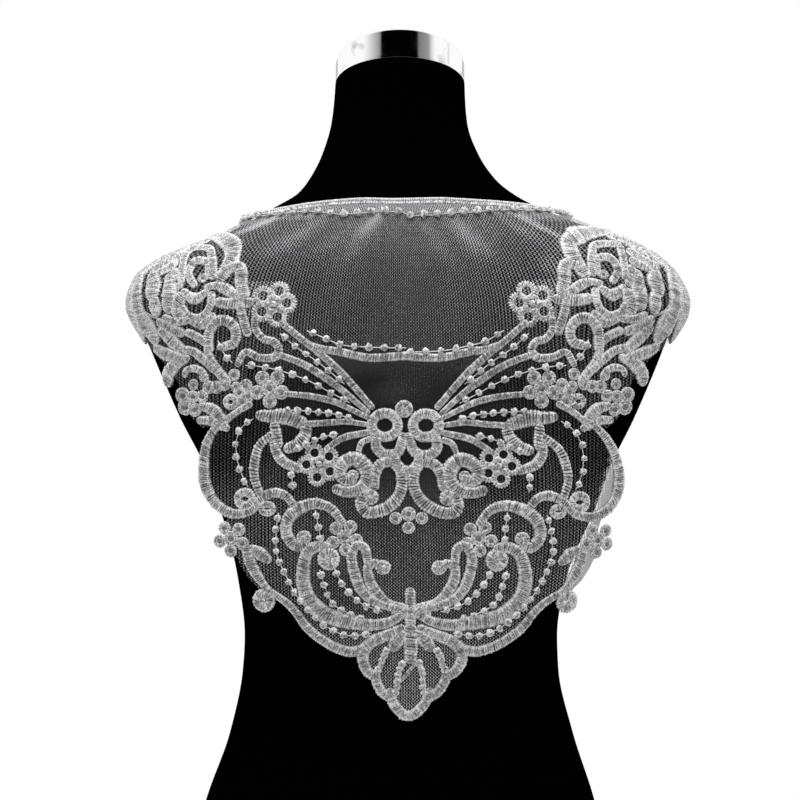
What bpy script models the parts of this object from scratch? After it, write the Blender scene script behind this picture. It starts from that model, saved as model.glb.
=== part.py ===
"""Embroidered lace collar resting on a limbless dress form.

The collar's back hangs down the form's back (-Y) to a lobed point, and a plain net front closes
the ring over the chest (+Y).  All tables are in millimetres and degrees; the model is in metres,
+Z up, with its origin in the middle of the form's flat foot.

Cloth is described on a plan: across it, the turn round the body from the middle of the back
(degrees), and up it, the height above the foot.  Motifs on the bib are placed instead by how far
across from the middle of the back they are, as on a front elevation, and mirrored left to right.
"""
import math

import bmesh
import bpy
import numpy as np
from mathutils import Vector
from mathutils.geometry import delaunay_2d_cdt

# ------------------------------------------------------------------ driving dimensions (mm)
MM = 0.001
CLEARANCE = 1.6          # between the form and the inside of the cloth
NET_WALL = 1.3           # thickness of the plain net
RAISED_WALL = 2.7        # thickness where the embroidery lies on it
FLANK = 1.4              # how far a satin edge slopes in from its outline
FLAT_TOP_FROM = 12.0     # bands at least this wide have a flat top, narrower ones a ridge
SEAM_GAP = 0.42          # between two pieces of lace
SEAM_STEP = 12.0         # longest straight piece of a seam or an edge
FACET_SAG = 0.4          # how far a facet may stray from the curved cloth
FINEST, COARSEST = 6.0, 22.0   # spacing of the points that carry that curve
ROW_SPACING = 5.2        # of the rows those points are chosen from
OUTER_ROOM, INNER_ROOM = 0.6, 0.5   # of that spacing, kept free round points already there
CORNER = 0.7             # how far a band's rounded end reaches, aside and ahead, at its corner
PETAL, PETAL_CREST = 0.43, 0.66     # a petal ring to its flower, and its crest to the ring
FLOWER_HEART = 0.2       # a ring flower's middle to its radius
PLAN_RADIUS = 130.0      # millimetres of plan for each radian of turn
SEGMENT = 15.0           # longest piece of a band
SEGMENT_TURN = math.radians(42)
TIGHTEST = 0.75          # most of a bend's radius that a band's inner edge may take
TOUCHING = 0.03          # plan points nearer than this are one
CORD_RADIUS = 1.7        # the corded neck edge
CORD_POINTS = 72
NECK_POINTS = 37         # of each net's neck edge, one for each of the cord's
CORD_SINK = 0.4          # how far the cord sinks below its radius, over the cloth's inside
FORM_SIDES = 36
PAD_SIDES, HOLE_SIDES, DOT_SIDES = 8, 6, 5
PLAN_STEP = 0.4          # over which the drape's directions are measured
FOLD_END = 0.02          # share of a fold's length at which its fading stops
PART_GAP = 0.3           # between touching solids
CAP_GAP = 0.45           # under the cap, measured upright
CAP_HALF_WIDTH, CAP_BEVEL = 51.2, 1.2
CAP_HEIGHT = 14.5        # at the sides of the neck
CAP_TOP_SLOPE = 0.43     # rise of its top towards the back
NECK_SLOPE = 0.265       # rise of the neck's top towards the back
NECK_SLOPE_FROM = 600.0
BUST_RISE = 27.0
BUST_ACROSS, BUST_HEIGHT = 72.0, 405.0
BUST_WIDTH, BUST_TALL = 50.0, 58.0

# Colour, roughness and share of metal of each kind of material.
BLACK_FORM = ((0.004, 0.004, 0.005), 0.6, 0.0)
METAL = ((0.75, 0.76, 0.78), 0.12, 1.0)
THREAD = ((0.6, 0.6, 0.61), 0.85, 0.0)
NET = ((0.3, 0.3, 0.31), 0.85, 0.0)

# ------------------------------------------------------------------ body and drape
# Horizontal sections.  Columns: height, half width on the left, on the right, back, front, power.
FORM_SECTIONS = (
    (0, 158, 158, -120, 100, 2.5),
    (60, 163, 163, -122, 102, 2.5),
    (109, 153, 153.3, -112, 98, 2.5),
    (165, 133.6, 135.8, -95, 91, 2.4),
    (213, 124, 125, -82, 85, 2.4),
    (240, 122.5, 124, -80, 84, 2.4),
    (286, 128, 131.5, -84, 88, 2.4),
    (340, 141.8, 153.8, -93, 94, 2.4),
    (376, 155, 167, -99, 95, 2.3),
    (411, 172.6, 184, -103, 91, 2.2),
    (465, 195.4, 206, -104, 77, 2.1),
    (500, 208.8, 217.2, -98, 62, 2.0),
    (518, 203.2, 211.7, -92, 53, 2.0),
    (532, 186.6, 201.6, -87, 45, 2.0),
    (549, 147.8, 175.4, -79, 36, 2.0),
    (557, 132, 155.3, -75, 32, 2.0),
    (567, 113.5, 130, -69, 30, 2.0),
    (576, 98.5, 108.5, -63, 30, 2.0),
    (587, 80.7, 89, -57, 33, 2.0),
    (598, 72, 76, -52, 38, 2.0),
    (618, 62, 62.6, -45, 48, 2.0),
    (643, 54.8, 53.7, -39, 61, 2.0),
    (662, 52.5, 52, -36, 69, 2.0),
    (677, 51.5, 51.5, -34, 73, 2.0),
)
# Below the shoulder blades the cloth leaves the form and hangs nearly straight down.
HANGING_SECTIONS = (
    (150, 150, 150, -100, 88, 2.3),
    (200, 156, 156, -106, 88, 2.3),
    (260, 166, 166, -112, 88, 2.3),
    (320, 173, 174, -114, 88, 2.3),
    (365, 178, 184, -113, 90, 2.3),
    (411, 186, 195, -109, 90, 2.25),
    (440, 193, 203, -107, 84, 2.2),
)
CLOTH_SECTIONS = HANGING_SECTIONS + tuple(row for row in FORM_SECTIONS if row[0] >= 465)
FORM_RINGS = (0, 60, 109, 165, 213, 240, 286, 325, 352, 378, 400, 422, 444, 465, 485, 500, 510, 519, 526,
              532, 540, 549, 557, 565, 573, 581, 588, 598, 618, 643, 662, 677)

# The bib hangs a little to the right.  Columns: height, amount.
LEAN = ((187, 6), (240, 8), (300, 7.5), (372, 5.5), (420, 3), (500, 2), (580, 0))
# Its right half is a little wider and lower.  Columns: height, share wider, share lower.
FLARE = ((187, 0.05, 0), (230, 0.085, 0), (280, 0.075, 0.015), (321, 0.065, 0.015),
         (350, 0.05, 0.022), (376, 0.045, 0.02), (402, 0.035, 0.022), (432, 0.03, 0),
         (465, 0.03, 0), (490, 0, 0), (580, 0, 0))
# The right shoulder's lace lies further out and higher.  Columns: height, further out, higher.
RIGHT_SHOULDER = ((400, 9, 0), (450, 7, 0.8), (475, 5, 1), (500, 5, 2.2), (525, 4, 2.2),
                  (545, 0.5, 3), (560, 0, 3))
RIM_FADE = 12            # how near the rim the places of both shoulders come together
# Where the cloth stands off: turn, height, spread of each, and lift.
SWELLS = (
    (90, 500, 30, 30, 6.0),
    (-90, 505, 26, 26, 2.2),
    (46, 335, 16, 40, 3.0),
    (0, 215, 16, 30, 3.0),
)
# Soft folds of the net: turn and height of both ends, width and lift.
FOLDS = (
    (-12, 572, -38, 520, 9, 1.6),
    (-30, 560, -50, 530, 8, 1.3),
    (14, 570, 36, 512, 9, 1.5),
    (34, 566, 52, 526, 8, 1.2),
    (-17, 428, 12, 427, 7, 2.2),
    (-9, 437, 16, 434, 6, 1.5),
    (-15, 330, -9, 282, 8, 2.0),
    (11, 335, 13, 280, 9, 2.2),
    (-46, 390, -44, 345, 8, 1.8),
    (50, 392, 52, 340, 8, 2.0),
)
NECKLINE = ((-180, 533), (-165, 534.3), (-150, 538), (-125, 550), (-105, 560), (-90, 566),
            (-82, 568.5), (-74, 571), (-64, 574), (-50, 576.3), (-30, 577.6), (-8, 577), (15, 577.4),
            (35, 577.8), (55, 576.6), (66, 575.4), (76, 573.6), (84, 571.6), (90, 569.6),
            (105, 563), (125, 551), (150, 538), (165, 534.3), (180, 533))

# ------------------------------------------------------------------ seams and edges on the plan
# across, height on the bib; turn, height on the shoulders
SCOOP_SEAM = ((0, 461.5), (29, 461), (47, 465), (63, 469.5), (76, 476), (83, 484), (81.5, 495),
              (84, 506), (92, 514.5), (101, 517))
SHOULDER_BACK_SEAM = ((61.5, 514), (64, 521), (67.5, 531), (70.5, 541.5), (75.5, 549), (80, 552),
                      (85, 552.5), (90, 551.5))
SHOULDER_BIB_SEAM = ((61.5, 514), (63.5, 505), (63.5, 497), (61.5, 488), (60.5, 478), (59, 468),
                     (57.2, 457), (56, 446), (53.9, 438), (53.9, 427), (55, 418), (58, 413),
                     (61, 408), (65, 403), (72, 398))
SHOULDER_FRONT_SEAM = ((90, 551.5), (96, 551), (103, 545), (108, 536), (111, 525), (114, 512),
                       (116, 498), (117, 484), (118, 472))
BIB_EDGE = ((135, 406), (143, 402), (149, 391), (152, 376), (151, 361), (145, 348), (138, 340),
            (134, 330), (132, 318), (130, 308), (126, 300), (120, 291), (112, 283), (99, 275),
            (89, 267), (78, 256), (66, 246), (54, 239), (43, 237), (36, 233), (32, 224),
            (25, 218), (20, 209), (12, 201), (8, 194), (0, 190))
SHOULDER_EDGE = ((66, 404), (69, 411), (71, 421), (71.5, 432), (74, 444), (79, 456), (84, 466),
                 (88, 472), (93, 472), (98, 467), (103, 468), (108, 472), (114, 477), (119, 481))
FRONT_EDGE = ((112, 476), (118, 480), (130, 484), (150, 486), (180, 487))
# Plan corners, well past the cloth's edge, that close each side of the bib's cell and a shoulder's.
BIB_OUTSIDE = ((250, 330), (200, -900))
SHOULDER_OUTSIDE = ((275, 440), (240, 380), (175, 385))

# ------------------------------------------------------------------ embroidery
# Satin bands: name, width at the start, middle and end, and the places they run through.
# A band whose last place is on the middle line (0 across) runs on into its mirror image.
BIB_BANDS = (
    ("scoop cord", (6, 7, 7), ((70, 466), (60, 463), (47, 461), (29, 457), (13, 457), (0, 458))),
    ("rib 1", (6, 6.5, 4.5), ((91, 483), (75, 470), (60, 458), (44, 443), (24, 420))),
    ("rib 2", (6, 6.5, 4), ((93, 459), (75, 452), (60, 443), (44, 431), (27, 416))),
    ("rib 3", (5, 6, 4), ((88, 430), (69, 428), (52, 424), (39, 418), (27, 412))),
    ("rib 4", (5.5, 5, 4), ((78, 407), (60, 408), (44, 409), (29, 407))),
    ("rib 5", (5, 6, 5), ((59, 389), (46, 397), (28, 401))),
    ("wing hook", (6, 7, 6), ((111, 486), (110, 478), (104, 471), (97, 469), (93, 463), (97, 457),
                              (108, 457), (118, 461), (124, 452))),
    ("comb", (9, 13, 8), ((107, 411), (97, 411), (86, 409), (76, 406))),
    ("comb foot", (8, 9, 8), ((96, 404), (96, 392))),
    ("side loop", (7, 8, 8), ((79, 405), (74, 400), (77, 393), (87, 390))),
    ("wing foot", (8, 8, 6), ((100, 396), (99, 388), (92, 380), (80, 374))),
    ("inner scroll", (5, 7, 6), ((100, 399), (109, 391), (113, 380), (114, 368), (110, 355))),
    ("side scroll", (5, 8.6, 7), ((130, 413), (139, 407), (146, 399), (151, 387), (153, 371),
                                  (151, 358), (144, 347), (132, 340), (120, 341), (113, 348))),
    ("arch", (7, 7, 6), ((112, 349), (107, 355), (98, 357), (90, 354), (84, 346))),
    ("big hook", (8, 8.5, 5), ((77, 317), (86, 317), (91, 326), (89, 337), (80, 345), (68, 348),
                               (57, 344), (49, 334))),
    ("antenna", (5, 5, 4), ((27, 396), (33, 392), (36, 385))),
    ("wing root", (6, 9, 5), ((17, 380), (24, 372), (27, 361))),
    ("body hook", (7, 8, 7), ((9, 381), (8, 371), (4, 362), (7, 354), (16, 346), (27, 341),
                              (36, 345), (37, 352))),
    ("main scroll", (7, 11, 6), ((66, 313), (73, 314), (79, 306), (80, 293), (78, 283), (71, 273),
                                 (58, 264), (44, 260), (28, 258), (14, 261), (4, 268))),
    ("lower edge", (8, 8.6, 7), ((131, 312), (127, 300), (120, 291), (111, 283), (99, 275),
                                 (89, 267), (78, 256), (66, 246), (54, 239), (43, 237))),
    ("twin scroll outer", (6, 7, 5), ((30, 309), (35, 317), (42, 313), (42, 302), (39, 289),
                                      (31, 280), (20, 273), (8, 271))),
    ("twin scroll inner", (5, 7, 5), ((25, 307), (31, 304), (31, 294), (28, 285), (20, 277),
                                      (8, 272))),
    ("lobe 1", (7, 9, 7), ((4, 262), (14, 256), (25, 249), (34, 242), (37, 232), (33, 223),
                           (24, 218))),
    ("lobe 2", (6, 7, 6), ((26, 224), (24, 214), (19, 207), (12, 203))),
    ("tip lobe", (6, 7.5, 7), ((14, 208), (12, 200), (8, 193), (0, 190))),
)
MIDDLE_BANDS = (
    ("foot column", (7, 8, 6), ((0, 262), (0, 248), (0, 231))),
    ("head column", (7, 9, 9), ((0, 285), (0, 274), (0, 262))),
)
# Round or oval satin pads: name, across, height, half width, half height, radius of its hole.
BIB_PADS = (
    ("head ring", 15, 407, 13, 13, 4.6),
    ("shoulder ring", 13.5, 390, 12.5, 11, 3.6),
    ("spiral", 41, 371, 14, 14, 0),
    ("side ball", 122, 351, 7.5, 7, 0),
    ("hook ball", 77, 323, 5, 5, 0),
    ("body ball", 30, 353, 7, 7, 0),
    ("scroll ball", 61, 307, 8.5, 9, 0),
    ("twin ball", 21, 302, 6, 6, 0),
    ("edge leaf", 116, 310, 8.5, 6, 0),
    ("edge curl", 116, 274, 9, 8.5, 0),
    ("foot leaf", 11, 244, 6, 5.5, 0),
    ("root knot", 9, 272, 4.5, 4.5, 0),
)
MIDDLE_PADS = (
    ("crown bead", 0, 418, 7, 7, 0),
    ("heart", 0, 374, 11, 12, 3.4),
)
# Flowers of rings: across, height, radius over all, petals, turn of the first petal.
RING_FLOWERS = (
    ("upper ring flower", 100, 498, 17.5, 5, 40),
    ("lower ring flower", 65, 377, 14.5, 5, 10),
)
# Flowers of dots: across, height, distance and radius of the dots, their number, first turn.
DOT_FLOWERS = (
    ("wing dots", 100, 434, 9.5, 5.2, 5, 54),
    ("scroll dots", 48, 323, 9.3, 4.8, 5, 60),
    ("edge dots", 133, 321, 9.2, 5.0, 5, 50),
)
MIDDLE_DOTS = (
    ("body dots", 0, 343, 9.8, 5.0, 3, 210),
)
# The shoulders, by turn and height; those marked 1 are repeated over the ridge.
SHOULDER_BANDS = (
    ("outer loop", 1, (7, 8, 7), ((74.5, 512), (77, 523), (79, 533), (79.5, 539), (76.5, 538),
                                  (72, 529), (68.5, 517))),
    ("frill", 0, (7, 12, 8), ((85, 548), (77, 545), (71, 536), (69, 527), (68, 519))),
    ("side frill", 0, (7, 9, 7), ((67.5, 521), (66, 525), (64, 519), (62, 511), (60.5, 503))),
    ("ring", 1, (6, 6.5, 6), ((72.5, 512), (74.3, 520), (75.6, 527), (73.4, 529), (71, 523),
                              (69.5, 515))),
    ("top petal 1", 1, (9, 12, 9), ((77, 514), (80, 525), (83, 535), (86, 544))),
    ("top petal 2", 1, (9, 12, 9), ((81, 514), (84.5, 525), (87, 537))),
    ("leaf 1", 0, (6, 10, 6), ((71, 509), (69, 513), (66, 511), (62.5, 505), (59.5, 502))),
    ("leaf 2", 0, (8, 11, 9), ((67, 500), (60, 496))),
    ("cup", 1, (8, 8.5, 8), ((74, 507), (74, 499), (72.5, 490), (69.5, 488), (67.5, 492),
                             (67, 499), (68, 508))),
    ("inner petal", 1, (9, 12, 9), ((79, 514), (77.5, 504), (77, 493))),
    ("middle petal", 0, (9, 12, 9), ((82.5, 518), (81, 505), (80, 493))),
    ("tip satin", 1, (18, 28, 18), ((86.5, 530), (86.5, 513), (85.5, 495), (83.5, 478))),
    ("lower cup", 0, (6, 7, 6), ((72, 486), (70, 482.5), (67.5, 484))),
    ("ring hook", 0, (8, 9, 8), ((65.5, 462), (66.5, 473), (66, 481), (63.5, 484.5), (61, 480),
                                 (60, 471))),
    ("leg", 0, (8, 9, 7), ((66, 463), (64.5, 454), (62, 445), (60, 436))),
    ("strap 1", 0, (8, 9, 8), ((73.5, 483), (70.5, 475), (66.8, 467))),
    ("strap 2", 0, (7, 8, 7), ((71.5, 464), (69, 459), (66, 452))),
    ("blade 1", 0, (11, 13, 7), ((78, 484), (75.5, 472), (72, 461))),
    ("blade 2", 0, (10, 13, 7), ((81.5, 465), (77.5, 462), (72, 457))),
    ("blade 3", 0, (8, 12, 7), ((76.3, 441), (75, 449), (71, 455))),
    ("blade 4", 0, (8, 10, 8), ((69.5, 447), (66.5, 441))),
    ("blade 5", 0, (8, 11, 7), ((65.5, 427), (63.5, 418), (61, 413))),
    ("blade 6", 0, (8, 10, 7), ((68.3, 411), (64, 409.5), (60.5, 411))),
    ("stem", 0, (8, 8, 8), ((61.5, 500), (60.8, 488), (60, 475))),
)
SHOULDER_DOTS = (
    ("edge cluster", 68.3, 428, 8.5, 5.0, 5, 30),
    ("inner cluster", 58.5, 434, 8.0, 5.0, 5, 60),
)


# ------------------------------------------------------------------ surfaces
def smooth(rows, at):
    """The columns of a table at given values of its first column, along a smooth curve."""
    table = np.asarray(rows, float)
    knots, values = table[:, 0], table[:, 1:]
    gaps = np.diff(knots)
    slopes = np.diff(values, axis=0) / gaps[:, None]
    same_way = slopes[:-1] * slopes[1:] > 0
    total = np.where(same_way, slopes[:-1] + slopes[1:], 1)
    inner = np.where(same_way, 2 * slopes[:-1] * slopes[1:] / total, 0)
    tangents = np.vstack([slopes[:1], inner, slopes[-1:]])
    at = np.clip(np.asarray(at, float), knots[0], knots[-1])
    i = np.clip(np.searchsorted(knots, at) - 1, 0, len(knots) - 2)
    gap = gaps[i][..., None]
    t = (at - knots[i])[..., None] / gap
    return ((2 * t**3 - 3 * t**2 + 1) * values[i] + (t**3 - 2 * t**2 + t) * gap * tangents[i]
            + (3 * t**2 - 2 * t**3) * values[i + 1] + (t**3 - t**2) * gap * tangents[i + 1])


def columns(rows):
    """Each later column of a table, paired with its first."""
    first, *rest = zip(*rows)
    return [(first, column) for column in rest]


def body_point(rows, turn, height):
    """Points of a body given by its horizontal sections; turn is in radians from the back."""
    left, right, back, front, power = np.moveaxis(smooth(rows, height), -1, 0)
    middle, depth = (back + front) / 2, (front - back) / 2
    sine, cosine = np.sin(turn), np.cos(turn)
    half_width = np.where(sine < 0, left, right)
    reach = (np.abs(sine / half_width)**power + np.abs(cosine / depth)**power)**(-1 / power)
    x, y = reach * sine, middle - reach * cosine
    bust = np.exp(-((np.abs(x) - BUST_ACROSS) / BUST_WIDTH)**2
                  - ((height - BUST_HEIGHT) / BUST_TALL)**2)
    y = y + np.where(cosine < 0, BUST_RISE * bust, 0)
    lean_in = np.clip((height - NECK_SLOPE_FROM) / (FORM_SECTIONS[-1][0] - NECK_SLOPE_FROM), 0, 1)
    return np.stack([x, y, height + NECK_SLOPE * lean_in * (middle - y)], -1)


def stand_off(turn, height):
    """How far swells and folds lift the cloth from its drape."""
    degrees = np.degrees(turn)
    lift = np.zeros_like(height)
    for at_turn, at_height, turn_spread, height_spread, rise in SWELLS:
        lift = lift + rise * np.exp(-((degrees - at_turn) / turn_spread)**2
                                    - ((height - at_height) / height_spread)**2)
    for turn_1, height_1, turn_2, height_2, width, rise in FOLDS:
        start = np.array([math.radians(turn_1) * PLAN_RADIUS, height_1])
        run = np.array([math.radians(turn_2) * PLAN_RADIUS, height_2]) - start
        way = np.stack([turn * PLAN_RADIUS, height], -1) - start
        along = np.clip(way @ run / (run @ run), 0, 1)
        miss = np.linalg.norm(way - along[..., None] * run, axis=-1)
        fade = np.sin(np.pi * np.clip(along, FOLD_END, 1 - FOLD_END))
        lift = lift + rise * fade * np.exp(-(miss / width)**2)
    return lift


def cloth_axes(plan):
    """Where plan points lie on the drape, and how it runs there per millimetre of plan."""
    plan = np.asarray(plan, float)
    turn, height = plan[..., 0] / PLAN_RADIUS, plan[..., 1]
    step = PLAN_STEP

    def at(turn_step, height_step):
        return body_point(CLOTH_SECTIONS, turn + turn_step / PLAN_RADIUS, height + height_step)

    along = (at(step, 0) - at(-step, 0)) / (2 * step)
    up = (at(0, step) - at(0, -step)) / (2 * step)
    normal = np.cross(along, up)
    normal /= np.linalg.norm(normal, axis=-1, keepdims=True)
    return at(0, 0), along, up, normal


def cloth_point(plan, lift):
    """Points of the draped cloth at plan points, lifted off the form by lift and its folds."""
    plan = np.asarray(plan, float)
    place, _, _, normal = cloth_axes(plan)
    turn, height = plan[..., 0] / PLAN_RADIUS, plan[..., 1]
    off = CLEARANCE + stand_off(turn, height) + lift
    return place + normal * np.asarray(off)[..., None]


def turn_at(x, height, behind=True):
    """The turn, in radians, at which the drape is x from the middle, on its back or its front."""
    left, right, back, front, power = smooth(CLOTH_SECTIONS, height).T
    share = np.clip(np.abs(x) / np.where(x < 0, left, right), 0, 1)
    near = (front - back) / 2 * (1 - share**power)**(1 / power)
    return np.arctan2(x, np.where(behind, near, -near))


def across_to_plan(places, side):
    """Plan points of places given as (across, height) on the bib's back, for one side."""
    places = np.asarray(places, float)
    outward, height = side * places[:, 0], places[:, 1]
    wider, lower = (np.interp(height, *column) for column in columns(FLARE))
    right = np.maximum(outward, 0)
    x = outward + right * wider + np.interp(height, *zip(*LEAN))
    height = height - right * lower
    return np.stack([turn_at(x, height) * PLAN_RADIUS, height], -1)


def turn_to_plan(places, side, over=False):
    """Plan points of places given as (turn, height) on the left shoulder, or of their like on
    the right one; over puts them past the shoulder ridge."""
    places = np.asarray(places, float)
    turn, height = np.radians(places[:, 0]), places[:, 1]
    if over:
        turn = math.pi - turn
    if side > 0:
        out, rise = (np.interp(height, *column) for column in columns(RIGHT_SHOULDER))
        x = -body_point(CLOTH_SECTIONS, -turn, height)[:, 0]
        left = smooth(CLOTH_SECTIONS, height)[:, 0]
        higher = smooth(CLOTH_SECTIONS, height + rise)[:, 1]
        rim = (x / left)**RIM_FADE
        x = (x + out * np.abs(np.sin(turn))) * (1 - rim) + x / left * higher * rim
        height = height + rise
        turn = turn_at(np.minimum(x, higher), height, turn < math.pi / 2)
    return np.stack([side * turn * PLAN_RADIUS, height], -1)


# ------------------------------------------------------------------ drawing on the plan
def curve_through(places, fine=12):
    """A smooth curve through a few places, as many close points."""
    places = np.asarray(places, float)
    if len(places) == 2:
        return np.linspace(places[0], places[1], fine + 1)
    ends = np.vstack([2 * places[0] - places[1], places, 2 * places[-1] - places[-2]])
    t = np.linspace(0, 1, fine, endpoint=False)[:, None]
    runs = []
    for a, b, c, d in zip(ends, ends[1:], ends[2:], ends[3:]):
        runs.append(0.5 * (2 * b + (c - a) * t + (2 * a - 5 * b + 4 * c - d) * t**2
                           + (3 * b - a - 3 * c + d) * t**3))
    return np.vstack(runs + [places[-1:]])


def thinned(line):
    """The line with only as many points as its length and its bends need."""
    true = cloth_axes(line)[0]
    steps = np.diff(true, axis=0)
    lengths = np.linalg.norm(steps, axis=1)
    heading = steps / lengths[:, None]
    bend = np.zeros(len(lengths))
    bend[1:] = np.arccos(np.clip((heading[1:] * heading[:-1]).sum(1), -1, 1))
    measure = np.concatenate([[0], np.cumsum(lengths / SEGMENT + bend / SEGMENT_TURN)])
    count = max(2, round(measure[-1]))
    at = np.linspace(0, measure[-1], count + 1)
    return np.stack([np.interp(at, measure, line[:, k]) for k in (0, 1)], -1)


def sideways(line, toward=None):
    """For each plan point, the plan step that goes one millimetre to the left of the line."""
    _, along, up, normal = cloth_axes(line)
    run = np.gradient(line, axis=0) if toward is None else toward
    ahead = run[:, :1] * along + run[:, 1:] * up
    left = np.cross(normal, ahead)
    left /= np.linalg.norm(left, axis=1, keepdims=True)
    aa, au, uu = (along * along).sum(1), (along * up).sum(1), (up * up).sum(1)
    la, lu = (left * along).sum(1), (left * up).sum(1)
    spread = aa * uu - au**2
    return np.stack([(la * uu - lu * au) / spread, (lu * aa - la * au) / spread], -1)


def oval(centre, half_width, half_height, sides, first=0.0):
    """A true oval on the cloth round a plan point."""
    centre = np.repeat(np.asarray(centre, float)[None], sides, 0)
    turn = first + np.linspace(0, 2 * math.pi, sides, endpoint=False)
    up_step = sideways(centre, np.tile([1.0, 0.0], (sides, 1)))
    right_step = -sideways(centre, np.tile([0.0, 1.0], (sides, 1)))
    return (centre + right_step * (half_width * np.cos(turn))[:, None]
            + up_step * (half_height * np.sin(turn))[:, None])


def band_outline(line, half):
    """The outline of a band along a line, with rounded ends and its bends kept open."""
    left = sideways(line)
    run = np.gradient(cloth_axes(line)[0], axis=0)
    heading = run / np.linalg.norm(run, axis=1, keepdims=True)
    bend = np.gradient(heading, axis=0) / np.linalg.norm(run, axis=1, keepdims=True)
    toward_left = (bend * (cloth_point(line + left, 0 * half) - cloth_point(line, 0 * half))).sum(1)
    room = TIGHTEST / np.maximum(np.abs(toward_left), 1e-6)
    left_half = np.where(toward_left > 0, np.minimum(half, room), half)
    right_half = np.where(toward_left < 0, np.minimum(half, room), half)
    ends = []
    for at, out in ((0, -1), (-1, 1)):
        aside = left[at]
        ahead = out * -sideways(line[at][None], aside[None])[0]
        ends.append([line[at] + half[at] * CORNER * (ahead + aside), line[at] + half[at] * ahead,
                     line[at] + half[at] * CORNER * (ahead - aside)])
    return np.vstack([line + left * left_half[:, None], ends[1],
                      (line - left * right_half[:, None])[::-1], ends[0][::-1]])


def signed_area(outline):
    ahead = np.roll(outline, -1, 0)
    return (outline[:, 0] * ahead[:, 1] - ahead[:, 0] * outline[:, 1]).sum() / 2


class Plan:
    """Polygons drawn on the plan: the net, the bands' outlines and their raised tops."""

    def __init__(self):
        self.points, self.faces, self.kinds, self.ridges = [], [], [], []

    def polygon(self, kind, outline):
        outline = np.asarray(outline, float)
        if signed_area(outline) < 0:
            outline = outline[::-1]
        start = len(self.points)
        self.points.extend(map(tuple, outline))
        self.faces.append(list(range(start, start + len(outline))))
        self.kinds.append(kind)

    def ridge(self, line):
        start = len(self.points)
        self.points.extend(map(tuple, line))
        self.ridges.extend((start + i, start + i + 1) for i in range(len(line) - 1))

    def peak(self, point):
        self.points.append(tuple(point))
        self.ridges.append((len(self.points) - 1,) * 2)

    def band(self, line, widths):
        """A satin band along a line, flat on top where it is wide and ridged where narrow."""
        line = thinned(line)
        width = np.interp(np.linspace(0, 1, len(line)), (0, 0.5, 1), widths)
        self.polygon("band", band_outline(line, width / 2))
        if max(widths) >= FLAT_TOP_FROM:
            self.polygon("top", band_outline(line, width / 2 - FLANK))
        else:
            self.ridge(line)

    def pad(self, centre, half_width, half_height, hole=0.0, sides=PAD_SIDES):
        """A round or oval pad of satin, with a hole down to the net if it has one."""
        self.polygon("band", oval(centre, half_width, half_height, sides))
        crest = (0.5 * (half_width + half_height) + hole) / 2
        if hole:
            ring = oval(centre, crest, crest, sides)
            self.ridge(np.vstack([ring, ring[:1]]))
            self.polygon("net", oval(centre, hole, hole, HOLE_SIDES))
        elif min(half_width, half_height) > FLAT_TOP_FROM / 2:
            self.polygon("top", oval(centre, half_width - FLANK, half_height - FLANK, HOLE_SIDES))
        else:
            self.peak(centre)

    def dots(self, centre, distance, radius, count, first):
        """A flower of round dots about a middle one."""
        for k in range(count):
            turn = math.radians(first) + k * 2 * math.pi / DOT_SIDES
            self.pad(oval(centre, distance, distance, 1, turn)[0], radius, radius, sides=DOT_SIDES)
        self.pad(centre, radius, radius, sides=DOT_SIDES)

    def ring_flower(self, centre, radius, petals, first):
        """A flower of rings, each hollow down to the net, about a small middle."""
        ring = radius * PETAL
        for k in range(petals):
            turn = math.radians(first) + k * 2 * math.pi / petals
            at = oval(centre, radius - ring, radius - ring, 1, turn)[0]
            self.polygon("band", oval(at, ring, ring, HOLE_SIDES, turn))
            crest = oval(at, ring * PETAL_CREST, ring * PETAL_CREST, HOLE_SIDES, turn)
            self.ridge(np.vstack([crest, crest[:1]]))
            self.points.append(tuple(at))
        self.pad(centre, radius * FLOWER_HEART, radius * FLOWER_HEART, sides=DOT_SIDES)


# ------------------------------------------------------------------ the wall of lace
def inside(points, outline):
    """Which points lie inside a closed outline."""
    points, outline = np.asarray(points, float), np.asarray(outline, float)
    ahead = np.roll(outline, -1, 0)
    x, y = points[:, :1], points[:, 1:]
    spans = (outline[:, 1] > y) != (ahead[:, 1] > y)
    rise = np.where(ahead[:, 1] == outline[:, 1], 1e-9, ahead[:, 1] - outline[:, 1])
    crossing = outline[:, 0] + (y - outline[:, 1]) / rise * (ahead[:, 0] - outline[:, 0])
    return (spans & (x < crossing)).sum(1) % 2 == 1


def facet_size(plan):
    """The plan spacing at which flat facets stray from the cloth by no more than the sag."""
    step, zero = 2.0, np.zeros(len(plan))
    across, up = np.array([step, 0.0]), np.array([0.0, step])

    def run(at, way):
        return cloth_point(at + way, zero) - cloth_point(at - way, zero)

    def normal(at):
        square = np.cross(run(at, across), run(at, up))
        return square / np.linalg.norm(square, axis=1, keepdims=True)

    bend = [np.linalg.norm(normal(plan + way) - normal(plan - way), axis=1)
            * np.linalg.norm(run(plan, way), axis=1) / (2 * step)**2 for way in (across, up)]
    return np.clip(np.sqrt(8 * FACET_SAG / np.maximum(*bend)), FINEST, COARSEST)


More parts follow.
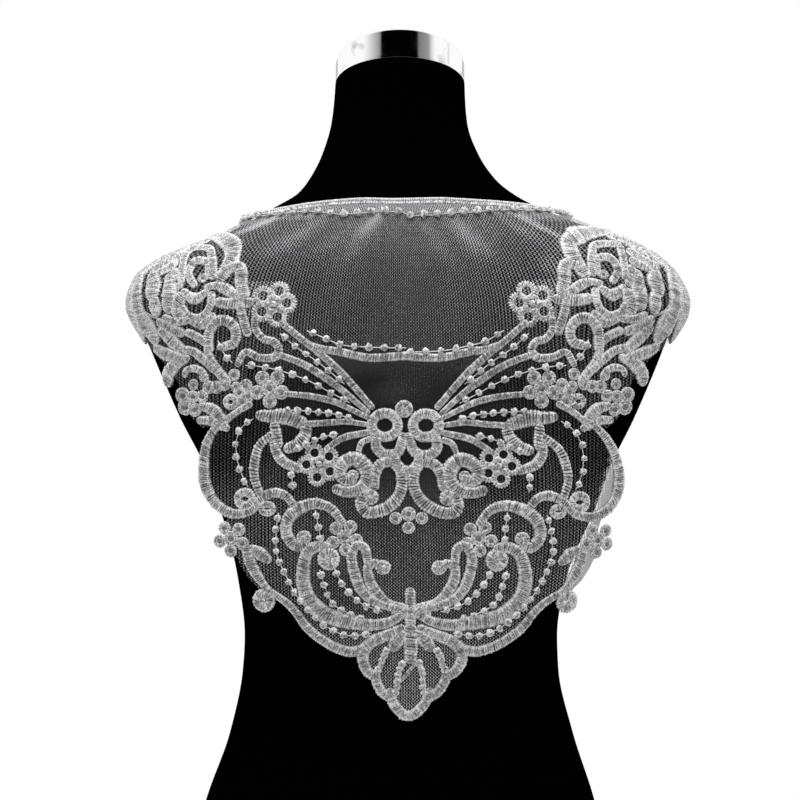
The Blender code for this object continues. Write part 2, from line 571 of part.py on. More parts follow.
def filling(outline, taken, keep_off):
    """Points inside an outline, as close as its curve needs, kept off the points taken."""
    outline = np.asarray(outline, float)
    low, high = outline.min(0), outline.max(0)
    rows = []
    for k, height in enumerate(np.arange(low[1] + FINEST / 2, high[1], ROW_SPACING)):
        start = low[0] + (FINEST / 2 if k % 2 else 0)
        rows.extend((across, height) for across in np.arange(start, high[0], FINEST))
    candidates = np.array(rows)
    candidates = candidates[inside(candidates, outline)]
    size = facet_size(candidates)
    room = np.full(len(candidates), np.inf)
    for point in np.asarray(taken, float).reshape(-1, 2):
        room = np.minimum(room, np.hypot(*(candidates - point).T) / keep_off)
    chosen = []
    for k, point in enumerate(candidates):
        if room[k] >= size[k]:
            chosen.append(tuple(point))
            room = np.minimum(room, np.hypot(*(candidates - point).T))
    return chosen


def triangulate(points, edges, faces):
    """Delaunay triangles of a plan, with the input points, edges and faces behind each."""
    flat = [Vector((float(a), float(b))) for a, b in points]
    return delaunay_2d_cdt(flat, edges, faces, 0, TOUCHING if faces else 0.001, True)


def largest_piece(triangles):
    """The triangles joined by edges to the most others."""
    by_edge = {}
    for index, triangle in enumerate(triangles):
        for k in range(3):
            edge = frozenset((triangle[k], triangle[(k + 1) % 3]))
            by_edge.setdefault(edge, []).append(index)
    group = list(range(len(triangles)))

    def root(i):
        while group[i] != i:
            group[i] = group[group[i]]
            i = group[i]
        return i

    for sharing in by_edge.values():
        for other in sharing[1:]:
            group[root(other)] = root(sharing[0])
    roots = [root(i) for i in range(len(triangles))]
    biggest = max(set(roots), key=roots.count)
    return [t for t, r in zip(triangles, roots) if r == biggest]


def rim_loops(triangles):
    """The closed loops of the triangles' free edges, running anticlockwise round the piece."""
    used = {}
    for triangle in triangles:
        for k in range(3):
            edge = (triangle[k], triangle[(k + 1) % 3])
            used[edge] = True
    follow = {}
    for a, b in used:
        if (b, a) not in used:
            if a in follow:
                raise ValueError("the lace's edge touches itself")
            follow[a] = b
    loops = []
    while follow:
        start, at = next(iter(follow.items()))
        del follow[start]
        loop = [start]
        while at != start:
            loop.append(at)
            at = follow.pop(at)
        loops.append(loop)
    return loops


def outer_layer(plan, cell, net):
    """The wall's outside: its plan points, its triangles, and which points are raised."""
    plan.points.extend(filling(net, plan.points + [tuple(p) for p in net], OUTER_ROOM))
    plan.polygon("net", net)
    plan.polygon("cell", cell)
    ridges = [ridge for ridge in plan.ridges if ridge[0] != ridge[1]]
    flat, edges, triangles, from_points, from_edges, from_faces = triangulate(
        plan.points, ridges, plan.faces)
    flat = np.array([tuple(v) for v in flat])
    triangles = [list(triangle) for triangle in triangles]
    kept, raised = [], set()
    for triangle, sources in zip(triangles, from_faces):
        here = {plan.kinds[i] for i in sources}
        if "cell" in here and len(here) > 1:
            kept.append(triangle)
            if "top" in here:
                raised.update(triangle)
    rims = rim_loops(largest_piece(kept))
    middles = flat[np.array(triangles)].mean(1)
    solid = inside(middles, flat[max(rims, key=len)])
    kept = [triangle for triangle, here in zip(triangles, solid) if here]
    for edge, sources in zip(edges, from_edges):
        if any(source < len(ridges) for source in sources):
            raised.update(edge)
    peaks = {ridge[0] for ridge in plan.ridges if ridge[0] == ridge[1]}
    raised.update(i for i, sources in enumerate(from_points) if peaks.intersection(sources))
    return flat, kept, raised


def inner_layer(rims):
    """The wall's plain inside: its plan points, the first ones those of the rims, and triangles."""
    outline = max(rims, key=len)
    taken = np.vstack(rims)
    points = [tuple(p) for p in taken]
    points.extend(filling(outline, taken, INNER_ROOM))
    edges, start = [], 0
    for rim in rims:
        edges.extend((start + i, start + (i + 1) % len(rim)) for i in range(len(rim)))
        start += len(rim)
    flat, _, triangles, sources, _, _ = triangulate(points, edges, [])
    if len(flat) != len(points):
        raise ValueError("points of the lace's edge fell together")
    new_place = {source: index for index, found in enumerate(sources) for source in found}
    old_place = {index: source for source, index in new_place.items()}
    triangles = np.array([list(t) for t in triangles])
    middles = np.array([tuple(v) for v in flat])[triangles].mean(1)
    solid = inside(middles, outline)
    for rim in rims:
        if rim is not outline:
            solid &= ~inside(middles, rim)
    return np.array(points), [[old_place[i] for i in t] for t in triangles[solid]]


def lace_wall(name, plan, cell, net):
    """A closed wall: embroidery raised over the net outside, plain and coarser inside."""
    flat, triangles, raised = outer_layer(plan, cell, net)
    used = sorted({i for triangle in triangles for i in triangle})
    order = {old: new for new, old in enumerate(used)}
    lift = np.array([RAISED_WALL if i in raised else NET_WALL for i in used])
    loops = rim_loops(triangles)
    inner_flat, inner_triangles = inner_layer([flat[loop] for loop in loops])

    shape = bmesh.new()
    outer = [shape.verts.new(Vector(p) * MM) for p in cloth_point(flat[used], lift)]
    inner = [shape.verts.new(Vector(p) * MM)
             for p in cloth_point(inner_flat, np.zeros(len(inner_flat)))]
    for a, b, c in triangles:
        shape.faces.new((outer[order[a]], outer[order[b]], outer[order[c]]))
    for a, b, c in inner_triangles:
        shape.faces.new((inner[c], inner[b], inner[a]))
    start = 0
    for loop in loops:
        count = len(loop)
        for i in range(count):
            j = (i + 1) % count
            a, b = outer[order[loop[i]]], outer[order[loop[j]]]
            shape.faces.new((b, a, inner[start + i]))
            shape.faces.new((b, inner[start + i], inner[start + j]))
        start += count
    return mesh_object(name, shape)


# ------------------------------------------------------------------ cells and nets
def shrunk(outline, by):
    """A closed outline drawn in by a distance on the plan."""
    outline = np.asarray(outline, float)
    before, after = np.roll(outline, 1, 0), np.roll(outline, -1, 0)
    area = (outline[:, 0] * after[:, 1] - after[:, 0] * outline[:, 1]).sum()
    way_in = (outline - before) / np.linalg.norm(outline - before, axis=1, keepdims=True)
    way_out = (after - outline) / np.linalg.norm(after - outline, axis=1, keepdims=True)
    middle = way_in + way_out
    middle /= np.linalg.norm(middle, axis=1, keepdims=True)
    inward = np.stack([-middle[:, 1], middle[:, 0]], -1) * (1 if area > 0 else -1)
    mitre = (middle * way_in).sum(1)
    return outline + inward * (by / np.clip(mitre, 0.5, 1))[:, None]


def finer(line):
    """The line with points added wherever two are far apart."""
    runs = []
    for a, b in zip(line, line[1:]):
        count = math.ceil(np.linalg.norm(b - a) / SEAM_STEP)
        runs.append(a + (b - a) * np.arange(count)[:, None] / count)
    return np.vstack(runs + [line[-1:]])


def neckline_plan(turns, down=0.0):
    """Plan points along the neck edge, or a little down from it, at given turns in degrees."""
    def edge(at):
        height = smooth(NECKLINE, (at + 180) % 360 - 180)[:, 0]
        return np.stack([np.radians(at) * PLAN_RADIUS, height], -1)

    turns = np.asarray(turns, float)
    return edge(turns) - sideways(edge(turns), edge(turns + 0.5) - edge(turns - 0.5)) * down


def scoop_seam(side):
    """The seam between yoke and bib, from the middle out to the shoulder lace."""
    seam = across_to_plan(SCOOP_SEAM, side)
    return finer(np.vstack([seam[:-1], turn_to_plan(SHOULDER_BACK_SEAM[:1], side)]))


def bib_cell():
    left, right = (np.vstack([scoop_seam(side)[:-1], finer(turn_to_plan(SHOULDER_BIB_SEAM, side)),
                              BIB_OUTSIDE * np.array([side, 1])]) for side in (-1, 1))
    return shrunk(np.vstack([left, right[1:][::-1]]), SEAM_GAP / 2)


def shoulder_cell(side):
    inner = finer(turn_to_plan(SHOULDER_BIB_SEAM, side))[::-1]
    top = finer(turn_to_plan(SHOULDER_BACK_SEAM + SHOULDER_FRONT_SEAM[1:], side))[1:]
    outside = SHOULDER_OUTSIDE * np.array([side, 1])
    return shrunk(np.vstack([inner, top, outside]), SEAM_GAP / 2)


def yoke_outline():
    top = neckline_plan(np.linspace(-90, 90, NECK_POINTS), CORD_RADIUS + PART_GAP)

    def way_round(side, neck_end):
        """From the middle of the scooped seam up the shoulder's seam, short of the neck."""
        back = finer(np.vstack([turn_to_plan(SHOULDER_BACK_SEAM, side), neck_end[None]]))
        return np.vstack([scoop_seam(side)[:-1], back[:-1]])

    left, right = way_round(-1, top[0]), way_round(1, top[-1])
    return shrunk(np.vstack([top, right[::-1], left[1:]]), SEAM_GAP / 2)


def front_outline():
    top = neckline_plan(np.linspace(90, 270, NECK_POINTS), CORD_RADIUS + PART_GAP)
    edge = SHOULDER_FRONT_SEAM[:-1] + FRONT_EDGE[1:]
    right = np.vstack([top[:1], turn_to_plan(edge, 1)])
    left = np.vstack([top[-1:], turn_to_plan(edge, -1) + (2 * math.pi * PLAN_RADIUS, 0)])
    return shrunk(np.vstack([top, finer(left)[1:], finer(right)[1:-1][::-1]]), SEAM_GAP / 2)


def bib_net():
    top = np.vstack([scoop_seam(-1)[::-1], scoop_seam(1)[1:]])
    left, right = (finer(np.vstack([turn_to_plan(SHOULDER_BIB_SEAM[1:-1], side),
                                    across_to_plan(BIB_EDGE, side)])) for side in (-1, 1))
    return np.vstack([top, right, left[:-1][::-1]])


def shoulder_net(side):
    inner = turn_to_plan(SHOULDER_BIB_SEAM[:-2], side)[::-1]
    top = turn_to_plan(SHOULDER_BACK_SEAM[1:] + SHOULDER_FRONT_SEAM[1:-1], side)
    edge = turn_to_plan(SHOULDER_EDGE, side)[::-1]
    return finer(np.vstack([inner, top, edge]))


# ------------------------------------------------------------------ embroidery on the cells
def draw_bib():
    plan = Plan()
    for _, widths, places in BIB_BANDS:
        halves = [curve_through(across_to_plan(places, side)) for side in (-1, 1)]
        if places[-1][0] == 0:
            whole = np.vstack([halves[0][:-1], halves[1][::-1]])
            plan.band(whole, (widths[0], widths[2], widths[0]))
        else:
            for half in halves:
                plan.band(half, widths)
    for _, widths, places in MIDDLE_BANDS:
        plan.band(curve_through(across_to_plan(places, 1)), widths)
    for pads, sides in ((BIB_PADS, (-1, 1)), (MIDDLE_PADS, (1,))):
        for _, across, height, half_width, half_height, hole in pads:
            for side in sides:
                centre = across_to_plan([(across, height)], side)[0]
                plan.pad(centre, half_width, half_height, hole)
    for side in (-1, 1):
        for _, across, height, radius, petals, first in RING_FLOWERS:
            centre = across_to_plan([(across, height)], side)[0]
            plan.ring_flower(centre, radius, petals, first if side < 0 else 180 - first)
    for flowers, sides in ((DOT_FLOWERS, (-1, 1)), (MIDDLE_DOTS, (1,))):
        for _, across, height, distance, radius, count, first in flowers:
            for side in sides:
                centre = across_to_plan([(across, height)], side)[0]
                plan.dots(centre, distance, radius, count, first)
    return plan


def draw_shoulder(side):
    plan = Plan()
    for _, repeated, widths, places in SHOULDER_BANDS:
        for over in (False, True)[:1 + repeated]:
            plan.band(curve_through(turn_to_plan(places, side, over)), widths)
    for _, turn, height, distance, radius, count, first in SHOULDER_DOTS:
        centre = turn_to_plan([(turn, height)], side)[0]
        plan.dots(centre, distance, radius, count, first)
    return plan


# ------------------------------------------------------------------ objects
def mesh_object(name, shape):
    """A named object from a bmesh, its faces pointing out."""
    shape.normal_update()
    mesh = bpy.data.meshes.new(name)
    shape.to_mesh(mesh)
    shape.free()
    thing = bpy.data.objects.new(name, mesh)
    collection.objects.link(thing)
    return thing


def paint(thing, colour, roughness, metallic):
    """A material of the thing's own, in its plain colour."""
    material = bpy.data.materials.new(thing.name)
    material.use_nodes = True
    shader = material.node_tree.nodes["Principled BSDF"]
    shader.inputs["Base Color"].default_value = (*colour, 1)
    shader.inputs["Roughness"].default_value = roughness
    shader.inputs["Metallic"].default_value = metallic
    thing.data.materials.append(material)


def loft(name, rings):
    """A closed body through rings of points, with flat ends."""
    shape = bmesh.new()
    loops = [[shape.verts.new(Vector(p) * MM) for p in ring] for ring in rings]
    for lower, upper in zip(loops, loops[1:]):
        for i in range(len(lower)):
            j = (i + 1) % len(lower)
            shape.faces.new((lower[i], lower[j], upper[j], upper[i]))
    shape.faces.new(loops[0][::-1])
    shape.faces.new(loops[-1])
    bmesh.ops.recalc_face_normals(shape, faces=shape.faces)
    return mesh_object(name, shape)


def section_ring(height, sides=FORM_SIDES):
    """One ring of the form's surface, spaced evenly round its curve."""
    left, right, back, front, power = smooth(FORM_SECTIONS, height)
    angle = np.linspace(0, 2 * math.pi, sides, endpoint=False)
    half_width = np.where(np.sin(angle) < 0, left, right)
    sine = np.sign(np.sin(angle)) * np.abs(np.sin(angle))**(2 / power)
    cosine = np.sign(np.cos(angle)) * np.abs(np.cos(angle))**(2 / power)
    turn = np.arctan2(half_width * sine, (front - back) / 2 * cosine)
    return body_point(FORM_SECTIONS, turn, np.full(sides, float(height)))


def form_torso():
    torso = loft("form_torso", [section_ring(height) for height in FORM_RINGS])
    paint(torso, *BLACK_FORM)
    return torso


def neck_cap():
    """The metal cap: a wedge of a disc, higher at the back, with a bevelled top edge."""
    top_ring = section_ring(FORM_RINGS[-1])
    middle = (top_ring[:, 1].max() + top_ring[:, 1].min()) / 2
    shrink = CAP_HALF_WIDTH / top_ring[:, 0].max()
    foot = top_ring.copy()
    foot[:, 0] *= shrink
    foot[:, 1] = middle + (foot[:, 1] - middle) * shrink
    foot[:, 2] += CAP_GAP
    top = foot.copy()
    top[:, 2] = FORM_SECTIONS[-1][0] + CAP_HEIGHT + CAP_TOP_SLOPE * (middle - top[:, 1])
    cap = loft("form_neck_cap", [foot, top])
    bevel = cap.modifiers.new("soft edges", "BEVEL")
    bevel.width = CAP_BEVEL * MM
    bevel.segments = 2
    bevel.limit_method = "ANGLE"
    bevel.angle_limit = math.radians(50)
    paint(cap, *METAL)
    return cap


def neck_cord():
    """The corded neck edge, a closed tube."""
    curve = bpy.data.curves.new("neck_cord", "CURVE")
    curve.dimensions = "3D"
    curve.bevel_depth = CORD_RADIUS * MM
    curve.bevel_resolution = 1
    line = neckline_plan(np.linspace(-180, 180, CORD_POINTS, endpoint=False))
    places = cloth_point(line, np.full(len(line), CORD_RADIUS - CORD_SINK))
    spline = curve.splines.new("POLY")
    spline.points.add(len(places) - 1)
    for point, place in zip(spline.points, places):
        point.co = (*(place * MM), 1)
    spline.use_cyclic_u = True
    cord = bpy.data.objects.new("neck_cord", curve)
    collection.objects.link(cord)
    paint(cord, *THREAD)
    return cord


def lace():
    """Every piece of the collar's cloth."""
    pieces = [(lace_wall("lace_bib", draw_bib(), bib_cell(), bib_net()), THREAD)]
    for side, word in ((-1, "left"), (1, "right")):
        wall = lace_wall("lace_shoulder_" + word, draw_shoulder(side), shoulder_cell(side),
                         shoulder_net(side))
        pieces.append((wall, THREAD))
    for name, outline in (("net_yoke", yoke_outline()), ("net_front", front_outline())):
        pieces.append((lace_wall(name, Plan(), outline, outline), NET))
    for piece, material in pieces:
        paint(piece, *material)


for old in list(bpy.data.objects):
    bpy.data.objects.remove(old, do_unlink=True)
collection = bpy.data.collections.new("lace collar on a dress form")
bpy.context.scene.collection.children.link(collection)
form_torso()
neck_cap()
neck_cord()
lace()
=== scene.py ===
"""Looks of the lace collar on its dress form: net, satin stitches, beads, form and studio.

Tables are in millimetres and degrees; everything is placed in metres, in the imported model's frame.
Cloth is described on a plan: across it, the turn round the body from the middle of the back, and
up it, the height above the form's foot.  The bib's motifs are placed by how far across from the
middle of the back they are, for the left half, and mirrored.
"""
import math

import bpy
import numpy as np
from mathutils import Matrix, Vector
from mathutils.geometry import delaunay_2d_cdt


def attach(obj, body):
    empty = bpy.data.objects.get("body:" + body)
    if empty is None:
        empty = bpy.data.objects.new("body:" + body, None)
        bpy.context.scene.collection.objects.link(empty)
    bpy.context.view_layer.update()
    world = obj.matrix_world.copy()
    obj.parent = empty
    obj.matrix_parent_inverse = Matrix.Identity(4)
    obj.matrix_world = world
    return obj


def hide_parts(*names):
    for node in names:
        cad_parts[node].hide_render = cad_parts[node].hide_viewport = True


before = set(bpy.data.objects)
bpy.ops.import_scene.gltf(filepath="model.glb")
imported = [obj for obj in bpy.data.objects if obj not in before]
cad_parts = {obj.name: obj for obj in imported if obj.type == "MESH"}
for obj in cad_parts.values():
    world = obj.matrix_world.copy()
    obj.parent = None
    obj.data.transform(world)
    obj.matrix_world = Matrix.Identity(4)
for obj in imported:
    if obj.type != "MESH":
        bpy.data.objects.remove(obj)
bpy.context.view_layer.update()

# ---------------- driving dimensions (mm)
MM = 0.001
BODY = "root"
CLEARANCE = 1.6          # between the form and the inside of the cloth
PLAN_RADIUS = 130.0      # millimetres of plan for each radian of turn
WALE_RADIUS = 104.0      # at which the net's wales have their pitch
WALE_PITCH, MESH_PITCH = 1.8, 2.3
NET_LIFT = 0.7           # of the net over the inside of the solid wall
STITCH_BASE = 0.55       # of the underside of the stitches over the same
STITCH = 1.6             # from one satin stitch to the next
SMOOTH_STITCH, COARSE_STITCH = 1.5, 2.6     # whose slits are hardly and fully open
LEAST_ROUND = 0.6        # least share of an oval's width on the curve of the side
MOST_ASIDE = 0.26        # least share of a width on the shoulder's rim that is seen from behind
SMALLEST_HOLE = 0.6      # a ring's smaller hole is filled by a knot
TIGHTEST = 0.75          # most of a bend's radius that a band's inner edge may take
BIB_SHADE, RIB_SHADE = 0.9, 0.84     # painted shade: the bib's bands are made darker than the shoulders', its ribs most
BEAD_RADIUS = 2.7
THREAD_RADIUS = 0.42
CORD_RADIUS = 1.7
NECK_STITCH = 1.7
EDGING_DOWN, EDGING_WIDTH, EDGING_STITCH = 2.2, 4.0, 1.9     # the stitches under the neck cord
NECK_BEAD_PITCH, SCOOP_BEAD_PITCH = 10.3, 11.0
NECK_BEAD_RADIUS = 3.105
FORM_SIDES = 160
FORM_TOP = 677.0
FOOT_ROUND = 1.5
CAP_GAP = 0.45
CAP_HALF_WIDTH = 51.2
CAP_HEIGHT = 14.5
CAP_TOP_SLOPE = 0.43
CAP_ROUND = 1.6
NECK_SLOPE = 0.265       # rise of the neck's top towards the back
NECK_SLOPE_FROM = 600.0
BUST_RISE = 27.0
BUST_ACROSS, BUST_HEIGHT = 72.0, 405.0
BUST_WIDTH, BUST_TALL = 50.0, 58.0
TINY = 1e-9              # less than this is rounding, which mustn't decide anything

# ---------------- body and drape
# Horizontal sections.  Columns: height, half width on the left, on the right, back, front, power.
FORM_SECTIONS = (
    (0, 158, 158, -120, 100, 2.5),
    (60, 163, 163, -122, 102, 2.5),
    (109, 153, 153.3, -112, 98, 2.5),
    (165, 133.6, 135.8, -95, 91, 2.4),
    (213, 124, 125, -82, 85, 2.4),
    (240, 122.5, 124, -80, 84, 2.4),
    (286, 128, 131.5, -84, 88, 2.4),
    (340, 141.8, 153.8, -93, 94, 2.4),
    (376, 155, 167, -99, 95, 2.3),
    (411, 172.6, 184, -103, 91, 2.2),
    (465, 195.4, 206, -104, 77, 2.1),
    (500, 208.8, 217.2, -98, 62, 2.0),
    (518, 203.2, 211.7, -92, 53, 2.0),
    (532, 186.6, 201.6, -87, 45, 2.0),
    (549, 147.8, 175.4, -79, 36, 2.0),
    (557, 132, 155.3, -75, 32, 2.0),
    (567, 113.5, 130, -69, 30, 2.0),
    (576, 98.5, 108.5, -63, 30, 2.0),
    (587, 80.7, 89, -57, 33, 2.0),
    (598, 72, 76, -52, 38, 2.0),
    (618, 62, 62.6, -45, 48, 2.0),
    (643, 54.8, 53.7, -39, 61, 2.0),
    (662, 52.5, 52, -36, 69, 2.0),
    (677, 51.5, 51.5, -34, 73, 2.0),
)
HANGING_SECTIONS = (
    (150, 150, 150, -100, 88, 2.3),
    (200, 156, 156, -106, 88, 2.3),
    (260, 166, 166, -112, 88, 2.3),
    (320, 173, 174, -114, 88, 2.3),
    (365, 178, 184, -113, 90, 2.3),
    (411, 186, 195, -109, 90, 2.25),
    (440, 193, 203, -107, 84, 2.2),
)
CLOTH_SECTIONS = HANGING_SECTIONS + tuple(row for row in FORM_SECTIONS if row[0] >= 465)

# The bib hangs a little to the right.  Columns: height, amount.
LEAN = ((187, 6), (240, 8), (300, 7.5), (372, 5.5), (420, 3), (500, 2), (580, 0))
# Its right half is a little wider and lower.  Columns: height, share wider, share lower.
FLARE = ((187, 0.05, 0), (230, 0.085, 0), (280, 0.075, 0.015), (321, 0.065, 0.015),
         (350, 0.05, 0.022), (376, 0.045, 0.02), (402, 0.035, 0.022), (432, 0.03, 0),
         (465, 0.03, 0), (490, 0, 0), (580, 0, 0))
# The right shoulder's lace lies further out and higher.  Columns: height, further out, higher.
RIGHT_SHOULDER = ((400, 9, 0), (450, 7, 0.8), (475, 5, 1), (500, 5, 2.2), (525, 4, 2.2),
                  (545, 0.5, 3), (560, 0, 3))
RIM_FADE = 12            # how near the rim the places of both shoulders come together
# Where the cloth stands off: turn, height, spread of each, and lift.
SWELLS = (
    (90, 500, 30, 30, 6.0),
    (-90, 505, 26, 26, 2.2),
    (46, 335, 16, 40, 3.0),
    (0, 215, 16, 30, 3.0),
)
# Soft folds of the net: turn and height of both ends, width and lift.
FOLDS = (
    (-12, 572, -38, 520, 9, 1.6),
    (-30, 560, -50, 530, 8, 1.3),
    (14, 570, 36, 512, 9, 1.5),
    (34, 566, 52, 526, 8, 1.2),
    (-17, 428, 12, 427, 7, 2.2),
    (-9, 437, 16, 434, 6, 1.5),
    (-15, 330, -9, 282, 8, 2.0),
    (11, 335, 13, 280, 9, 2.2),
    (-46, 390, -44, 345, 8, 1.8),
    (50, 392, 52, 340, 8, 2.0),
)
NECKLINE = ((-180, 533), (-165, 534.3), (-150, 538), (-125, 550), (-105, 560), (-90, 566),
            (-82, 568.5), (-74, 571), (-64, 574), (-50, 576.3), (-30, 577.6), (-8, 577), (15, 577.4),
            (35, 577.8), (55, 576.6), (66, 575.4), (76, 573.6), (84, 571.6), (90, 569.6),
            (105, 563), (125, 551), (150, 538), (165, 534.3), (180, 533))

# ---------------- seams and edges on the plan
# across, height on the bib; turn, height on the shoulders
SCOOP_SEAM = ((0, 461.5), (29, 461), (47, 465), (63, 469.5), (76, 476), (83, 484), (81.5, 495),
              (84, 506), (92, 514.5), (101, 517))
SHOULDER_BACK_SEAM = ((61.5, 514), (64, 521), (67.5, 531), (70.5, 541.5), (75.5, 549), (80, 552),
                      (85, 552.5), (90, 551.5))
SHOULDER_BIB_SEAM = ((61.5, 514), (63.5, 505), (63.5, 497), (61.5, 488), (60.5, 478), (59, 468),
                     (57.2, 457), (56, 446), (53.9, 438), (53.9, 427), (55, 418), (58, 413),
                     (61, 408), (65, 403), (72, 398))
SHOULDER_FRONT_SEAM = ((90, 551.5), (96, 551), (103, 545), (108, 536), (111, 525), (114, 512),
                       (116, 498), (117, 484), (118, 472))
BIB_EDGE = ((135, 406), (143, 402), (149, 391), (152, 376), (151, 361), (145, 348), (138, 340),
            (134, 330), (132, 318), (130, 308), (126, 300), (120, 291), (112, 283), (99, 275),
            (89, 267), (78, 256), (66, 246), (54, 239), (43, 237), (36, 233), (32, 224),
            (25, 218), (20, 209), (12, 201), (8, 194), (0, 190))
SHOULDER_EDGE = ((66, 404), (69, 411), (71, 421), (71.5, 432), (74, 444), (79, 456), (84, 466),
                 (88, 472), (93, 472), (98, 467), (103, 468), (108, 472), (114, 477), (119, 481))
FRONT_EDGE = ((112, 476), (118, 480), (130, 484), (150, 486), (180, 487))

# How dense the bib's net looks: height, share.
BIB_CLOSENESS = ((190, 0.95), (245, 0.88), (262, 0.56), (300, 0.48), (345, 0.34), (380, 0.09), (440, 0.1),
                 (462, 0.3), (482, 0.36), (492, 0.7), (520, 0.76))
# Light streaks of the yoke's net: turn and height of both ends, width and share.
STREAKS = (
    (-70, 569, -80, 548, 2.6, 1.9),
    (-10, 573, -34, 546, 6, 0.7),
    (-50, 571, -65, 530, 8, 0.45),
    (36, 573, 49, 526, 11, 0.4),
    (61, 570, 67, 538, 5, 0.4),
    (67, 570, 72, 546, 2.4, 1.4),
    (71.5, 551, 69, 533, 2.4, 0.9),
    (66, 538, 61, 516, 6, 0.4),
)
YOKE_CLOSE, NECK_PAINTED_LIGHT, STRIP_CLOSER = 0.38, 0.3, 0.45     # the yoke's, towards the neck as painted light, at its edge
OVERHANG_PAINTED_SHADE = 3.2           # painted shade: how much more opaque, so greyer, the net is made where it hangs past the form's right side
PAST_SIDE = 0.94         # where that starts, as a share of the form's half width
NECK_STRIP = 11.5        # under the neck edge the net is double

# ---------------- embroidery of the bib
# Satin bands: name, width at the start, middle and end, stitch, and the places they run through.
BIB_BANDS = (
    ("rib 1", (5, 6.2, 5.5), 1.65, ((24, 420), (44, 443), (60, 458), (75, 470), (91, 483))),
    ("rib 2", (4, 6.2, 5.5), 1.65, ((27, 416), (44, 431), (60, 443), (75, 452), (93, 459))),
    ("rib 3", (4, 5.6, 4.5), 1.65, ((27, 412), (39, 418), (52, 424), (69, 428), (88, 430))),
    ("rib 4", (4, 5.2, 5), 1.65, ((29, 407), (44, 409), (60, 408), (78, 407))),
    ("rib 5", (5, 5.8, 4.5), 1.65, ((28, 401), (46, 397), (59, 389))),
    ("wing hook", (6, 7, 5.5), 1.8, ((111, 487), (110, 478), (104, 471), (97, 469), (93, 463), (97, 457),
     (108, 457), (118, 461), (124, 452))),
    ("side scroll", (5, 10.2, 6.5), 1.8, ((130, 413), (139, 407), (146, 399), (151, 387), (153, 371),
     (151, 358), (144, 347), (132, 340), (120, 341), (114, 345))),
    ("inner scroll", (6, 8.2, 6.4), 2.6, ((100, 399), (109, 391), (113, 380), (114, 368), (110, 355))),
    ("arch", (7, 8, 6), 1.9, ((114, 347), (107, 353), (98, 356), (90, 353), (84, 345))),
    ("comb", (8, 13, 10), 2.5, ((108, 414), (100, 413), (92, 413), (84, 411), (76, 408))),
    ("comb column", (8, 9, 8), 2.7, ((97, 406), (96, 398), (95, 392))),
    ("comb fan", (8, 11, 8), 2.3, ((73, 404), (75, 398), (80, 392), (88, 389))),
    ("wing foot", (8, 8.6, 7), 1.7, ((98, 393), (96, 385), (90, 378), (80, 374))),
    ("big hook", (9, 10.4, 6), 1.8, ((77, 318), (85, 317), (91, 326), (89, 337), (80, 345), (68, 348),
     (57, 344), (49, 334))),
    ("antenna", (5, 5, 4), 1.7, ((27, 396), (33, 393), (36, 385))),
    ("spiral", (8, 12.6, 9), 1.8, ((53, 359), (45, 357), (36, 359), (30, 366), (31, 375), (38, 381),
     (46, 379), (50, 372), (47, 366), (41, 366))),
    ("U ring", (8, 8.8, 7.4), 1.7, ((21.5, 399), (22, 390), (17.3, 385), (10.8, 384.2), (5, 388),
     (2, 398))),
    ("side strand", (8, 9, 8), 1.8, ((12, 380), (20, 377), (24, 370), (25, 361))),
    ("body hook", (8, 10, 9), 2.2, ((6.4, 377), (4.2, 367), (4.8, 359), (9, 351), (16, 345), (24, 342),
     (31, 342), (35, 347), (34, 353))),
    ("main scroll", (8, 13.8, 6), 1.6, ((61, 316), (69, 316), (76, 311), (79, 300), (79, 288), (74, 275),
     (62, 265), (45, 260), (28, 258), (14, 261), (4, 268))),
    ("edge leaf", (5, 11.4, 6), 1.6, ((118, 314.5), (111.5, 310.5), (105, 305.5))),
    ("edge blade", (9.4, 9.4, 4.5), 1.6, ((121, 313), (119, 304), (114.5, 295), (108.5, 286.5),
     (105, 283))),
    ("lower edge", (5, 7.6, 8.4), 1.7, ((108, 284), (100.7, 280), (91.8, 273.8), (84, 265.5),
     (77.5, 256.5), (68.7, 248.7), (57, 241.5), (46, 238), (37.6, 239))),
    ("twin outer", (7, 9, 6), 1.6, ((31, 305), (33, 315), (39, 317), (43, 309), (41, 296), (36, 284),
     (26, 275), (5, 269))),
    ("twin inner", (6, 9, 7), 1.6, ((19, 299), (25, 304), (31, 301), (30, 291), (25, 282), (17, 274),
     (6, 271))),
    ("lobe 1", (8, 9.8, 8), 1.5, ((7, 255), (20, 249.5), (30, 244.5), (35, 237), (34.5, 229.5),
     (31, 223), (25, 219.5))),
    ("lobe 2", (8, 8.2, 7.6), 1.5, ((25.5, 221), (24, 215), (20, 208), (13, 203))),
    ("foot leaf", (6, 12, 7), 1.6, ((5, 252), (9.5, 247.5), (13.5, 241))),
)
# Bands that lie on or over the middle: name, widths, stitch, places, from one side to the other.
MIDDLE_BANDS = (
    ("scoop cord", (6.4, 7, 6.4), 1.8, ((-70, 466), (-60, 463), (-47, 461), (-29, 457), (-13, 457),
     (0, 458), (13, 457), (29, 457), (47, 461), (60, 463), (70, 466))),
    ("heart", (8, 10, 8), 1.7, ((-9.5, 384), (-7.4, 376), (0, 371.5), (7.4, 376), (9.5, 384))),
    ("tip lobe", (8, 8.8, 8), 1.5, ((-14, 208), (-11, 199), (-5, 192), (0, 190), (5, 192), (11, 199),
     (14, 208))),
    ("foot column", (9, 11.8, 12.6), 2.1, ((0, 233), (0, 243), (0, 254))),
    ("root", (8, 12.6, 8), 1.7, ((-11, 266), (0, 268), (11, 266))),
    ("head column", (9, 7.8, 8.6), 2.1, ((0, 260), (0, 271), (0, 282.5))),
    ("tip strand", (2.4, 3, 2.4), 1.6, ((5, 231), (0, 225), (-6, 217))),
)
